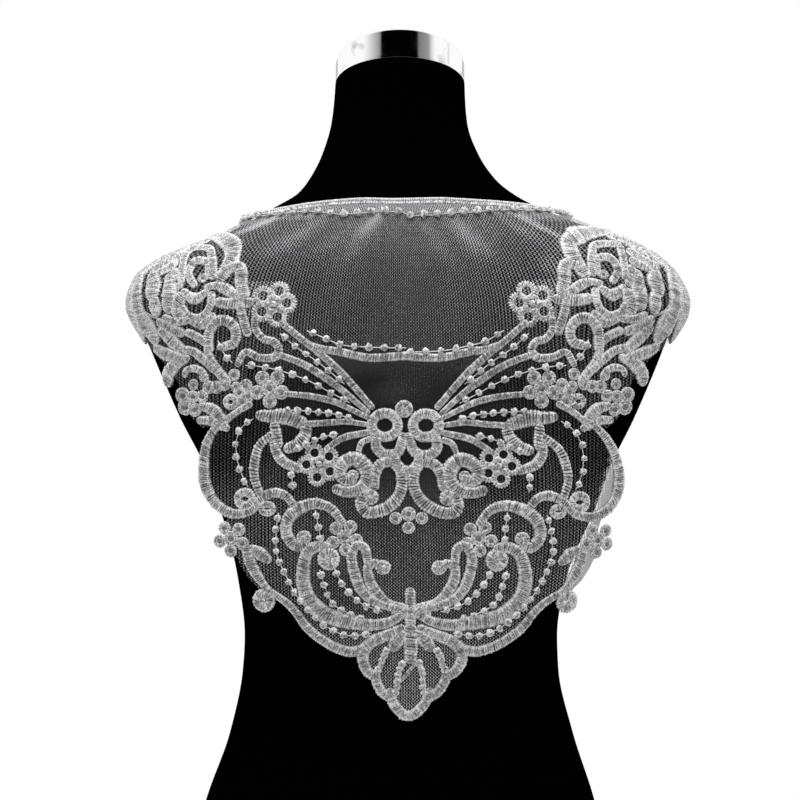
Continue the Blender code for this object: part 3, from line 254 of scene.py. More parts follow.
# Satin rings: name, across, height, half width, half height, and radius of the hole.
BIB_RINGS = (
    ("head ring", 15, 406.5, 14.2, 12.6, 5.2),
    ("side ball", 121.5, 351, 9.4, 8.6, 1.6),
    ("arch eye", 105, 344, 7.6, 5.6, 1.1),
    ("hook ball", 78, 323, 6, 5, 0.5),
    ("body ball", 28, 353, 6.4, 6.2, 0.5),
    ("spiral ball", 40.5, 369, 4.6, 4.4, 0.5),
    ("scroll ball", 60, 307, 8.5, 9, 0.5),
    ("twin ball", 20, 301, 6, 5.5, 0.5),
    ("edge curl", 109, 275, 9.2, 9, 0.5),
)
MIDDLE_RINGS = (
    ("crown bead", 0, 418.5, 7, 6.6, 0.5),
)
# Flowers of rings: across, height, distance of the holes, their radius, radius over all, turns.
RING_FLOWERS = (
    ("upper ring flower", 96.5, 497, 10.2, 3.4, 18.4, (143, 72, 5, -73, 213)),
    ("lower ring flower", 65, 377, 9.5, 3.1, 16.8, (113, 40, -32, -99, 180)),
)
# Flowers of dots: across, height, distance and radius of the dots, their number, first turn.
DOT_FLOWERS = (
    ("wing dots", 100, 434, 9.6, 5.6, 5, 54),
    ("scroll dots", 48, 323, 9.2, 5.0, 5, 60),
    ("edge dots", 133, 321, 9.2, 5.2, 5, 50),
)
MIDDLE_DOTS = (
    ("body dots", 0, 340.5, 10.2, 4.8, 3, 198),
)
# Beaded threads: name, pitch of the beads, and the places the thread runs through.
BIB_BEADS = (
    ("rib beads 1", 11, ((92, 475), (79, 464), (62, 452), (44, 437))),
    ("rib beads 2", 11, ((118, 451), (106, 450), (92, 447), (72, 440), (55, 431), (40, 423))),
    ("rib beads 3", 7.6, ((90, 418), (74, 417), (54, 415), (38, 411))),
    ("rib beads 4", 7.6, ((84, 387), (73, 392), (63, 397), (50, 400))),
    ("side beads", 10.4, ((113, 411), (122, 404.5), (126.5, 394), (126.5, 382), (124, 371), (119, 360))),
    ("hang beads", 6.4, ((86, 373), (85, 358))),
    ("hook beads", 8.4, ((69, 343), (65, 318))),
    ("long beads", 8.2, ((96.5, 341), (98.5, 328), (98.5, 310), (92, 294), (84, 279), (74, 267),
     (61.5, 256), (46.5, 250), (29, 252))),
    ("scroll beads 1", 8.4, ((67, 299), (59, 276), (47, 267), (33, 262))),
    ("scroll beads 2", 8.4, ((56, 300), (50, 288), (38, 275), (21, 268))),
    ("vein 1", 4.4, ((17, 241), (20.5, 234), (21.5, 229), (25, 223))),
    ("vein 2", 4.4, ((5, 232), (8.5, 223), (9.2, 213), (11, 206))),
)

SCOOP_BEADS = (
    ((-72, 477), (-60, 472), (-45, 466), (-25, 464.5), (-10, 464), (2, 464)),
    ((0, 461), (14, 461), (30, 462), (45, 465), (60, 469), (74, 477)),
)

# How far the neck edge's beads hang below it: turn, millimetres.
BEADS_DOWN = ((-180, 7), (-90, 6), (-65, 8), (-48, 14), (-35, 14), (-26, 12.8), (-17, 11.6), (1, 11),
              (8, 15.6), (27, 15.4), (41, 14.2), (47, 12.6), (53, 12.6), (66, 9), (90, 6), (180, 7))

# ---------------- embroidery of the shoulders
# name, 1 if repeated over the ridge, widths, stitch, places as (turn, height)
SHOULDER_BANDS = (
    ("crest 1", 1, (7, 9.5, 8), 1.6, ((89, 519), (88.5, 530), (88, 539), (87.5, 547))),
    ("crest 2", 1, (6, 7, 6), 1.5, ((84, 529), (85.5, 534), (86, 541), (84, 547))),
    ("top petal 1", 1, (7, 9.5, 7), 1.5, ((81.5, 527), (82.5, 531), (84.5, 537), (86, 543))),
    ("top row 1", 1, (6, 8, 7), 1.5, ((88.6, 528), (88.3, 533), (88, 538))),
    ("top row 2", 1, (7, 8, 7), 1.5, ((83.6, 524), (82.6, 527), (82, 531), (82, 535))),
    ("top row 3", 1, (6, 7, 6), 1.5, ((81, 521.5), (80, 525), (79.6, 528))),
    ("petal D", 1, (8, 12, 8), 1.5, ((75.2, 511), (76.3, 516), (77.8, 522))),
    ("outer loop", 1, (7, 7, 9), 1.6, ((75.2, 515), (76.9, 524), (79.2, 532), (81.5, 539.5), (77, 539),
     (73, 531), (69.8, 519))),
    ("ring", 1, (6.6, 7.4, 7.4), 1.6, ((72.4, 512), (74.5, 519), (75.6, 525), (76, 529.5), (74.6, 530),
     (72.5, 527), (70.6, 519))),
    ("frill", 0, (10, 18, 9), 1.9, ((88, 551), (81, 549), (73.6, 542.5), (69.7, 534), (68.2, 525),
     (68, 517))),
    ("side frill", 0, (7, 11.5, 9.5), 1.7, ((68.5, 523), (66, 525), (64.2, 520), (62.8, 512), (60.8, 504))),
    ("crescent", 1, (6, 9.5, 4.5), 1.5, ((73.7, 507), (72, 503), (70.5, 502), (69.2, 507))),
    ("leaf 1", 1, (4.5, 9.5, 6), 1.5, ((69.8, 510), (68, 511), (66, 509), (63.5, 505), (60.8, 501.5))),
    ("leaf 2", 0, (8, 9.5, 8), 2.1, ((66, 499), (64, 498), (61.5, 498), (59, 498.5))),
    ("cup petal", 1, (9.5, 13, 8), 1.5, ((73.8, 503), (74, 496), (73.4, 489))),
    ("cup", 1, (5.5, 6, 7), 1.5, ((72.7, 495), (71.5, 490), (69.5, 488), (68, 491), (67.4, 497),
     (67.8, 504))),
    ("lower cup", 0, (5, 6.5, 6), 1.5, ((71.2, 486), (69, 482.5), (67.8, 484.5), (66.4, 489))),
    ("stem", 0, (7, 7.5, 8), 1.6, ((61, 497), (60, 490), (58.8, 483), (57.5, 476))),
    ("ring hook", 0, (8, 9, 8), 1.8, ((66, 463), (66.6, 472), (66.4, 479), (65.4, 484.5), (63.6, 485.5),
     (61.4, 481.5), (60.2, 475), (60.4, 468), (62.4, 465.5))),
    ("leg", 0, (7, 8, 8), 1.8, ((66.4, 466), (66, 460), (64.5, 453), (62, 445), (60, 439))),
    ("strap 1", 0, (7, 7.5, 7), 1.6, ((71.5, 477), (69, 473), (66.5, 467))),
    ("strap 2", 0, (7, 7.5, 7), 1.6, ((72, 464), (69.5, 461.5), (66.5, 455), (63.5, 448))),
    ("upper blade 1", 0, (6, 7, 7), 1.6, ((76.5, 489), (74.5, 486), (72, 486))),
    ("upper blade 2", 0, (7, 9.5, 8), 1.6, ((78, 486), (76, 481), (73, 477))),
    ("blade 1", 1, (8, 11.5, 7), 1.5, ((78, 480), (75.5, 471), (72, 461))),
    ("blade 2", 1, (8, 11.5, 7), 1.5, ((81, 466), (77.5, 461), (72.5, 457))),
    ("blade 3", 0, (10.5, 13, 6), 1.5, ((76.3, 440), (75.6, 447), (73.5, 453), (71, 457))),
    ("blade cup", 0, (4.5, 6.5, 4.5), 1.6, ((71, 444), (70.5, 448), (68.5, 449), (66.3, 446), (65.2, 441))),
    ("blade 5", 0, (6, 11, 7), 1.6, ((66.2, 421), (63.8, 419), (61.6, 414), (60.2, 408))),
    ("blade 6", 0, (6, 8.5, 6), 1.6, ((67, 410), (64.5, 410), (62, 408), (59.4, 404))),
    ("strand", 0, (4.5, 5.5, 6), 1.6, ((61, 404), (59, 411), (56.5, 417), (53.5, 422))),
    ("tip satin 1", 1, (9, 10, 9), 1.4, ((88.5, 530), (89, 519), (89, 507), (89, 492), (88.4, 474))),
    ("tip satin 1b", 1, (8, 9, 9), 1.4, ((88.4, 527), (88.4, 517), (87.6, 507), (87, 496), (87.2, 484))),
    ("tip satin 2", 1, (8, 10, 10), 1.4, ((87.5, 525), (85.4, 516), (84, 506), (83.2, 497), (82.6, 487),
     (82.4, 478))),
    ("tip satin 3", 1, (9, 12, 10), 1.4, ((82, 491), (81.4, 483), (81, 472))),
    ("petal A", 1, (9, 14, 11), 1.4, ((82, 520), (80.6, 513), (79.8, 505))),
    ("petal B", 1, (9, 13, 11), 1.4, ((77.9, 518), (76.5, 508), (75.7, 496))),
    ("petal C", 1, (8, 11, 8), 1.4, ((79, 502), (78.4, 493))),
    ("tip border", 1, (2, 2.2, 2), 1.5, ((83.5, 506), (82.5, 500), (81, 493), (78.5, 489), (77.5, 485))),
)
SHOULDER_RINGS = (
    ("lower eye", 68.6, 483.5, 5.6, 4.6, 0.5),
    ("leaf eye", 58.5, 424, 6.2, 6.2, 1.4),
)
# Round pads: turn, height and radius.
SHOULDER_PADS = (
    (58.5, 444, 4.8), (55, 436, 5.2), (57.5, 435, 4.3), (60.5, 437, 5), (68.5, 437, 4.3),
    (71.5, 429, 6.4), (68.5, 428, 5), (66, 428, 5.2), (64.5, 435, 5.2), (62.5, 435, 5),
    (71, 420, 6.4), (68, 418, 5.5), (55.5, 424, 5.2), (54, 428, 4.6), (56.5, 431, 5), (71.5, 517, 4.1),
    (66, 443, 4.1),
)
SHOULDER_BEADS = (
    ("hook beads", 9, ((64.2, 470), (62.4, 461), (59.5, 453))),
)


# ---------------- surfaces
def smooth(rows, at):
    """The columns of a table at given values of its first column, along a smooth curve."""
    table = np.asarray(rows, float)
    knots, values = table[:, 0], table[:, 1:]
    gaps = np.diff(knots)
    slopes = np.diff(values, axis=0) / gaps[:, None]
    same_way = slopes[:-1] * slopes[1:] > 0
    total = np.where(same_way, slopes[:-1] + slopes[1:], 1)
    inner = np.where(same_way, 2 * slopes[:-1] * slopes[1:] / total, 0)
    tangents = np.vstack([slopes[:1], inner, slopes[-1:]])
    at = np.clip(np.asarray(at, float), knots[0], knots[-1])
    i = np.clip(np.searchsorted(knots, at) - 1, 0, len(knots) - 2)
    gap = gaps[i][..., None]
    t = (at - knots[i])[..., None] / gap
    return ((2 * t**3 - 3 * t**2 + 1) * values[i] + (t**3 - 2 * t**2 + t) * gap * tangents[i]
            + (3 * t**2 - 2 * t**3) * values[i + 1] + (t**3 - t**2) * gap * tangents[i + 1])


def columns(rows):
    """Each later column of a table, paired with its first."""
    first, *rest = zip(*rows)
    return [(first, column) for column in rest]


def body_point(rows, turn, height):
    """Points of a body given by its horizontal sections; turn is in radians from the back."""
    left, right, back, front, power = np.moveaxis(smooth(rows, height), -1, 0)
    middle, depth = (back + front) / 2, (front - back) / 2
    sine, cosine = np.sin(turn), np.cos(turn)
    half_width = np.where(sine < 0, left, right)
    reach = (np.abs(sine / half_width)**power + np.abs(cosine / depth)**power)**(-1 / power)
    x, y = reach * sine, middle - reach * cosine
    bust = np.exp(-((np.abs(x) - BUST_ACROSS) / BUST_WIDTH)**2
                  - ((height - BUST_HEIGHT) / BUST_TALL)**2)
    y = y + np.where(cosine < 0, BUST_RISE * bust, 0)
    lean_in = np.clip((height - NECK_SLOPE_FROM) / (FORM_TOP - NECK_SLOPE_FROM), 0, 1)
    return np.stack([x, y, height + NECK_SLOPE * lean_in * (middle - y)], -1)


def stand_off(turn, height):
    """How far swells and folds lift the cloth from its drape."""
    degrees = np.degrees(turn)
    lift = np.zeros_like(height)
    for at_turn, at_height, turn_spread, height_spread, rise in SWELLS:
        lift = lift + rise * np.exp(-((degrees - at_turn) / turn_spread)**2
                                    - ((height - at_height) / height_spread)**2)
    return lift + along_rows(FOLDS, turn, height)


def along_rows(rows, turn, height):
    """What rows of soft lines, such as the folds, add up to at places on the cloth."""
    lift = np.zeros_like(height)
    for turn_1, height_1, turn_2, height_2, width, rise in rows:
        start = np.array([math.radians(turn_1) * PLAN_RADIUS, height_1])
        run = np.array([math.radians(turn_2) * PLAN_RADIUS, height_2]) - start
        way = np.stack([turn * PLAN_RADIUS, height], -1) - start
        along = np.clip(way @ run / (run @ run), 0, 1)
        miss = np.linalg.norm(way - along[..., None] * run, axis=-1)
        fade = np.sin(np.pi * np.clip(along, 0.02, 0.98))
        lift = lift + rise * fade * np.exp(-(miss / width)**2)
    return lift


def cloth_axes(plan):
    """Where plan points lie on the drape, and how it runs there per millimetre of plan."""
    plan = np.asarray(plan, float)
    turn, height = plan[..., 0] / PLAN_RADIUS, plan[..., 1]
    step = 0.4

    def at(turn_step, height_step):
        return body_point(CLOTH_SECTIONS, turn + turn_step / PLAN_RADIUS, height + height_step)

    along = (at(step, 0) - at(-step, 0)) / (2 * step)
    up = (at(0, step) - at(0, -step)) / (2 * step)
    normal = np.cross(along, up)
    normal /= np.linalg.norm(normal, axis=-1, keepdims=True)
    return at(0, 0), along, up, normal


def cloth_point(plan, lift):
    """Points of the draped cloth at plan points, lifted off the form by lift and its folds."""
    plan = np.asarray(plan, float)
    place, _, _, normal = cloth_axes(plan)
    off = CLEARANCE + stand_off(plan[..., 0] / PLAN_RADIUS, plan[..., 1]) + lift
    return place + normal * np.asarray(off)[..., None]


def turn_at(x, height, behind=True):
    """The turn, in radians, at which the drape is x from the middle, on its back or its front."""
    left, right, back, front, power = smooth(CLOTH_SECTIONS, height).T
    share = np.clip(np.abs(x) / np.where(x < 0, left, right), 0, 1)
    near = (front - back) / 2 * (1 - share**power)**(1 / power)
    return np.arctan2(x, np.where(behind, near, -near))


def across_to_plan(places, side):
    """Plan points of places given as (across, height) on the bib's back, for one side."""
    places = np.asarray(places, float)
    outward, height = side * places[:, 0], places[:, 1]
    wider, lower = (np.interp(height, *column) for column in columns(FLARE))
    right = np.maximum(outward, 0)
    x = outward + right * wider + np.interp(height, *zip(*LEAN))
    height = height - right * lower
    return np.stack([turn_at(x, height) * PLAN_RADIUS, height], -1)


def turn_to_plan(places, side, over=False):
    """Plan points of places given as (turn, height) on the left shoulder, or of their like on
    the right one; over puts them past the shoulder ridge."""
    places = np.asarray(places, float)
    turn, height = np.radians(places[:, 0]), places[:, 1]
    if over:
        turn = math.pi - turn
    if side > 0:
        out, rise = (np.interp(height, *column) for column in columns(RIGHT_SHOULDER))
        x = -body_point(CLOTH_SECTIONS, -turn, height)[:, 0]
        left = smooth(CLOTH_SECTIONS, height)[:, 0]
        higher = smooth(CLOTH_SECTIONS, height + rise)[:, 1]
        rim = (x / left)**RIM_FADE
        x = (x + out * np.abs(np.sin(turn))) * (1 - rim) + x / left * higher * rim
        height = height + rise
        turn = turn_at(np.minimum(x, higher), height, turn < math.pi / 2)
    return np.stack([side * turn * PLAN_RADIUS, height], -1)


# ---------------- lines on the plan
def curve_through(places, fine=12):
    """A smooth curve through a few places, as many close points."""
    places = np.asarray(places, float)
    if len(places) == 2:
        return np.linspace(places[0], places[1], fine + 1)
    ends = np.vstack([2 * places[0] - places[1], places, 2 * places[-1] - places[-2]])
    t = np.linspace(0, 1, fine, endpoint=False)[:, None]
    runs = []
    for a, b, c, d in zip(ends, ends[1:], ends[2:], ends[3:]):
        runs.append(0.5 * (2 * b + (c - a) * t + (2 * a - 5 * b + 4 * c - d) * t**2
                           + (3 * b - a - 3 * c + d) * t**3))
    return np.vstack(runs + [places[-1:]])


def measured(line):
    """The length from a line's start to each of its points, on the cloth."""
    steps = np.linalg.norm(np.diff(cloth_axes(line)[0], axis=0), axis=1)
    return np.concatenate([[0], np.cumsum(steps)])


def places_at(line, lengths, at):
    return np.stack([np.interp(at, lengths, line[:, k]) for k in (0, 1)], -1)


def sideways(line, run):
    """For each plan point, the plan step one millimetre to the left of run, and one ahead."""
    _, along, up, normal = cloth_axes(line)
    ahead = run[:, :1] * along + run[:, 1:] * up
    reach = np.linalg.norm(ahead, axis=1, keepdims=True)
    left = np.cross(normal, ahead / reach)
    aa, au, uu = (along * along).sum(1), (along * up).sum(1), (up * up).sum(1)
    la, lu = (left * along).sum(1), (left * up).sum(1)
    spread = aa * uu - au**2
    return np.stack([(la * uu - lu * au) / spread, (lu * aa - la * au) / spread], -1), run / reach


def change(values, closed):
    """How much values change from each point of a line to the next."""
    if closed:
        return (np.roll(values, -1, 0) - np.roll(values, 1, 0)) / 2
    return np.gradient(values, axis=0)


def oval(centre, half_width, half_height, count, first=0.0):
    """Points of an oval on the cloth round a plan point; it is true as seen from behind."""
    centre = np.repeat(np.asarray(centre, float)[None], count, 0)
    along = cloth_axes(centre)[1]
    half_width = half_width / np.clip(np.abs(along[:, 0]) / np.linalg.norm(along, axis=1), LEAST_ROUND, 1)
    turn = first + np.linspace(0, 2 * math.pi, count, endpoint=False)
    up_step, right_step = sideways(centre, np.tile([1.0, 0.0], (count, 1)))
    return (centre + right_step * (half_width * np.cos(turn))[:, None]
            + up_step * (half_height * np.sin(turn))[:, None])


def ring_quads(here, ahead):
    """Quads from one row of point numbers to the next, each row closed into a ring."""
    beside = np.roll(np.arange(here.shape[1]), -1)
    return np.stack([here, ahead, ahead[:, beside], here[:, beside]], -1).reshape(-1, 4).tolist()


# ---------------- stitches
ACROSS = np.array((-1, -0.82, -0.42, 0, 0.42, 0.82, 1))      # places across a satin band
CROWN = np.array((0, 0.74, 0.94, 1, 0.94, 0.74, 0))          # its height there
EDGE_PAINTED_LIGHT = np.array((0.7, 1.26, 0.84, 0.75, 0.84, 1.26, 0.7))  # its lightness there: painted highlight on the raised edges, painted shade at the foot
SLIT_SHARE = np.array((0.7, 0.45, 1, 1, 1, 0.45, 0.7))       # how far a slit opens there, and how much painted shade darkens it
PHASES = np.array((0, 0.34, 0.72))                           # places along one stitch
SWELL = np.array((0.0, 1, 0.94))                             # its height there
TEETH = (0.07, 0.07)     # how much a band narrows between stitches, on its left and right
TALL, TALLEST = 0.24, 1.5     # a band's height: a share of its width, and the most
SLANT = 0.12             # how far stitches lean along the band, as a share of its width
LAYER_STEP, LAYERS = 0.11, 4  # bands that cross lie at different heights
THREAD_LIFT, THREAD_TONE = 1.2, 1.2


class Stitchwork:
    """Gathers closed strips of stitches into one mesh, with a lightness for each point that holds painted
    highlight and shade.
    """

    def __init__(self, name, seed):
        self.name, self.random = name, np.random.default_rng(seed)
        self.points, self.faces, self.tones_and_painted_light = [], [], []
        self.count, self.layer = 0, 0

    def strip(self, places, tones_and_painted_light, closed):
        """A closed strip through sections of points; a closed one joins its end to its start."""
        rows, columns = places.shape[:2]
        index = self.count + np.arange(rows * columns).reshape(rows, columns)
        if closed:
            self.faces += ring_quads(index, np.roll(index, -1, 0))
        else:
            self.faces += ring_quads(index[:-1], index[1:])
            self.faces += [index[0].tolist(), index[-1][::-1].tolist()]
        self.points.append(places.reshape(-1, 3))
        self.tones_and_painted_light.append(np.broadcast_to(tones_and_painted_light, (rows, columns)).reshape(-1))
        self.count += rows * columns

    def satin(self, line, widths, stitch=STITCH, closed=False, teeth=TEETH, rise=None, shade=1.0,
              seen=False):
        """A band of satin stitches along a line of plan points; seen widths are as from behind."""
        if not closed:
            line = self.lengthened(line, widths)
        lengths = measured(line)
        total = lengths[-1]
        count = max(3, round(total / stitch))
        number, phase = np.repeat(np.arange(count), len(PHASES)), np.tile(PHASES, count)
        share = (number + phase + self.random.uniform(-0.1, 0.1, len(phase)) * (phase > 0)) / count
        if not closed:
            share, phase, number = np.append(share, 1), np.append(phase, 0), np.append(number, count - 1)
        at = places_at(line, lengths, share * total)
        left, ahead = sideways(at, change(at, closed))
        half = np.interp(share, (0, 0.5, 1), widths) / 2
        if seen:
            aside = cloth_axes(at + left)[0] - cloth_axes(at)[0]
            half = half / np.clip(np.hypot(aside[:, 0], aside[:, 2]), MOST_ASIDE, 1)
        ends = np.ones(len(share))
        if not closed:
            room = np.clip(np.minimum(share, 1 - share) * total / half, 0.02, 1)
            ends = np.sqrt(1 - (1 - room)**2)
        halves = self.kept_open(at, left, half, closed)
        jitter = self.random.normal(0, 1, (4, count))[:, number]
        swell = np.interp(phase, PHASES, SWELL)
        # the slits give the band its hollows and, as painted shade, darken it there
        slit_depth_and_painted_shade = self.slit_depth_and_painted_shade(count, stitch)[number] * (phase == 0)[:, None]
        high = min(TALLEST, TALL * max(widths)) if rise is None else rise
        height = high * (1 + 0.08 * jitter[0]) * (0.35 + 0.65 * ends)
        height = height[:, None] * CROWN * (1 - 0.12 * (phase == 0)[:, None] - 0.7 * slit_depth_and_painted_shade)
        wide = [side * ends * (1 + tooth * (swell - 1) * 1.6 + 0.04 * uneven * swell)
                for side, tooth, uneven in zip(halves, teeth, jitter[1:3])]
        wide = np.where(ACROSS > 0, wide[0][:, None], wide[1][:, None]) * ACROSS
        slant = SLANT * (1 - np.abs(1 - 2 * share)**8)[:, None]
        plan = at[:, None] + left[:, None] * wide[..., None] + ahead[:, None] * (slant * wide)[..., None]
        # painted light: the band's raised edges are lightened, its foot and slits darkened
        tones_and_painted_light = EDGE_PAINTED_LIGHT * (1 + 0.14 * jitter[3])[:, None] * (1 - slit_depth_and_painted_shade)
        tones_and_painted_light = tones_and_painted_light + self.random.normal(0, 0.13, tones_and_painted_light.shape)
        lift = STITCH_BASE + LAYER_STEP * (self.layer % LAYERS) + height
        # shade darkens or lightens the whole band as painted light
        self.strip(cloth_point(plan, lift), np.clip(tones_and_painted_light * shade, 0, 1.25), closed)
        self.layer += 1

    def slit_depth_and_painted_shade(self, count, stitch):
        """How deep the slit before each stitch is, and how dark as painted shade, across its width: never
        two alike.
        """
        coarse = np.clip((stitch - SMOOTH_STITCH) / (COARSE_STITCH - SMOOTH_STITCH), 0, 1)
        depth = np.clip(self.random.normal(0.42 + 0.38 * coarse, 0.3, count), 0.05, 0.95)
        middle = self.random.uniform(-1.1, 1.1, count) * (1 - coarse)
        reach = self.random.uniform(0.5, 1.6, count) + 2 * coarse
        shape = np.clip(1.3 - np.abs(ACROSS - middle[:, None]) / reach[:, None], 0, 1)
        return depth[:, None] * shape * SLIT_SHARE

    @staticmethod
    def lengthened(line, widths):
        """The line drawn out at both ends, for its rounded ends."""
        lengths = measured(line[[0, 1, -2, -1]])
        first = (line[0] - line[1]) / lengths[1] * 0.42 * widths[0]
        last = (line[-1] - line[-2]) / (lengths[3] - lengths[2]) * 0.42 * widths[-1]
        return np.vstack([line[0] + first, line, line[-1] + last])

    @staticmethod
    def kept_open(at, left, half, closed):
        """The half widths to the left and right, narrowed inside tight bends."""
        place = cloth_axes(at)[0]
        run = change(place, closed)
        pace = np.linalg.norm(run, axis=1, keepdims=True)
        bend = change(run / pace, closed) / pace
        toward_left = (bend * (cloth_axes(at + left)[0] - place)).sum(1)
        padded = np.pad(toward_left, 2, "wrap" if closed else "edge")
        toward_left = np.convolve(padded, np.ones(5) / 5, "valid")
        tight = np.minimum(half, TIGHTEST / np.maximum(np.abs(toward_left), 1e-6))
        return np.where(toward_left > 0, tight, half), np.where(toward_left < 0, tight, half)

    def ring(self, centre, half_width, half_height, hole, stitch=STITCH, teeth=TEETH, shade=1.0,
             rise=None):
        """A closed ring of satin round a hole; a knot fills a small hole."""
        line = oval(centre, (half_width + hole) / 2, (half_height + hole) / 2, 40)
        width = (half_width + half_height) / 2 - hole
        self.satin(np.vstack([line, line[:1]]), (width,) * 3, stitch, True, teeth, rise, shade)
        if hole < SMALLEST_HOLE:
            self.bead(centre, 1.6)

    def dots(self, centre, distance, radius, count, first):
        """A flower of round pads about a middle one."""
        for k in range(count):
            turn = math.radians(first) + k * 2 * math.pi / 5
            self.pad(oval(centre, distance, distance, 1, turn)[0], radius)
        self.pad(centre, radius * 1.15)

    def pad(self, at, radius):
        """A small round petal: a ring of close stitches about a dark speckled middle."""
        self.ring(at, radius, radius, 0.3 * radius, 1.3, (0.1, 0.12), rise=0.9)
        self.knot(at, 0.5 * radius, 0.7, STITCH_BASE + 0.4, 6, 9, (0.8, 1.2), 0.3, (0.4, 0.6, 0.6))

    def ring_flower(self, centre, distance, hole, radius, turns):
        """A flower of fringed rings about a small middle, with knots between the rings."""
        for turn in turns:
            at = oval(centre, distance, distance, 1, math.radians(turn))[0]
            self.ring(at, radius - distance, radius - distance, hole, 1.75, (0.02, 0.44), 1.1, 0.9)
        for turn, after in zip(turns, turns[1:] + turns[:1]):
            between = (turn + after + (360 if abs(turn - after) > 180 else 0)) / 2
            self.bead(oval(centre, distance * 0.52, distance * 0.52, 1, math.radians(between))[0], 2.0)
        self.bead(centre, 2.6)

    def thread(self, line):
        """A plain thread along a line of plan points."""
        lengths = measured(line)
        count = max(2, round(lengths[-1] / 2.4))
        at = places_at(line, lengths, np.linspace(0, lengths[-1], count + 1))
        left, _ = sideways(at, np.gradient(at, axis=0))
        turn = np.linspace(0, 2 * math.pi, 5, endpoint=False)[::-1]
        plan = at[:, None] + left[:, None] * (THREAD_RADIUS * np.cos(turn))[None, :, None]
        lifts = np.broadcast_to(THREAD_LIFT + THREAD_RADIUS * np.sin(turn), plan.shape[:2])
        self.strip(cloth_point(plan, lifts), THREAD_TONE, False)

    def bead(self, at, radius=BEAD_RADIUS):
        """A small knobbly knot of thread at a plan point."""
        # painted light: the rows down the bead's sides and underside are made lighter, where they face away
        # from the lamps
        self.knot(at, radius, 0.8 * radius, radius * 0.62 + STITCH_BASE, 6, 10, (0.74, 1.26), 0.08,
                  (0.9, 1.4, 1.3))

    def knot(self, at, radius, tall, lift, rows, columns, rough, specks, rings=(0.6, 1, 1)):
        """A rough ball or cushion at a plan point, with a share of its points in shadow."""
        centre = cloth_point(at[None], np.array([lift]))[0]
        _, along, _, normal = (value[0] for value in cloth_axes(at[None]))
        along = along / np.linalg.norm(along)
        up = np.cross(normal, along)
        polar = np.linspace(0.12, math.pi - 0.12, rows)[:, None]
        around = np.linspace(0, 2 * math.pi, columns, endpoint=False) + 0.3 * np.arange(rows)[:, None]
        bumps = self.random.uniform(*rough, (rows, columns))
        wide = radius * bumps * np.sin(polar)
        ball = (wide * np.cos(around))[..., None] * along + (wide * np.sin(around))[..., None] * up
        ball = ball + (tall * (2 * bumps - 1) * np.cos(polar))[..., None] * normal
        share = np.interp(np.linspace(0, 1, rows), np.linspace(0, 1, len(rings)), rings)[:, None]
        # points that stand out are made lighter and dents darker: painted highlight and shade on the knobs
        tones_and_painted_light = share * (0.95 + 1.2 * (bumps - 1) + self.random.normal(0, 0.1, bumps.shape))
        tones_and_painted_light[self.random.random(bumps.shape) < specks] = 0.4
        self.strip(centre + ball[::-1], np.clip(tones_and_painted_light, 0.2, 1.3)[::-1], False)

    def beads(self, line, pitch, radius=BEAD_RADIUS):
        """Beads at even places along a line, on their thread."""
        lengths = measured(line)
        count = max(1, round(lengths[-1] / pitch))
        at = places_at(line, lengths, (np.arange(count) + 0.5) * lengths[-1] / count)
        self.thread(line)
        for place in at:
            self.bead(place, radius * self.random.uniform(0.92, 1.08))

    def piece(self, material, slot, *nodes):
        """The finished object, riding on the body and standing for the named nodes."""
        mesh = bpy.data.meshes.new(self.name)
        mesh.from_pydata((np.vstack(self.points) * MM).tolist(), [], self.faces)
        tone_and_painted_light = mesh.attributes.new("tone_and_painted_light", "FLOAT", "POINT")
        tone_and_painted_light.data.foreach_set("value", np.concatenate(self.tones_and_painted_light).astype(np.float32))
        return shown(self.name, mesh, material, slot, *nodes)


def shown(name, mesh, material, slot, *nodes):
    """A smooth-shaded object of the part, riding on its body."""
    mesh.shade_smooth()
    mesh.materials.append(material)
    thing = bpy.data.objects.new(name, mesh)
    bpy.context.scene.collection.objects.link(thing)
    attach(thing, BODY)
    if nodes:
        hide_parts(*nodes)
    return thing


# ---------------- nets
def inside(points, outline):
    """Which points lie inside a closed outline."""
    ahead = np.roll(outline, -1, 0)
    x, y = points[:, :1], points[:, 1:]
    spans = (outline[:, 1] > y) != (ahead[:, 1] > y)
    rise = np.where(ahead[:, 1] == outline[:, 1], TINY, ahead[:, 1] - outline[:, 1])
    crossing = outline[:, 0] + (y - outline[:, 1]) / rise * (ahead[:, 0] - outline[:, 0])
    return (spans & (x < crossing)).sum(1) % 2 == 1


def finer(line, step=4.0):
    """The line with points added wherever two are far apart."""
    runs = []
    for a, b in zip(line, line[1:]):
        count = math.ceil(np.linalg.norm(b - a) / step)
        runs.append(a + (b - a) * np.arange(count)[:, None] / count)
    return np.vstack(runs + [line[-1:]])


def neckline_plan(turns, down=0.0):
    """Plan points along the neck edge, or some way down from it, at given turns in degrees."""
    def edge(at):
        height = smooth(NECKLINE, (at + 180) % 360 - 180)[:, 0]
        return np.stack([np.radians(at) * PLAN_RADIUS, height], -1)

    turns = np.asarray(turns, float)
    left, _ = sideways(edge(turns), edge(turns + 0.5) - edge(turns - 0.5))
    return edge(turns) - left * np.reshape(down, (-1, 1))


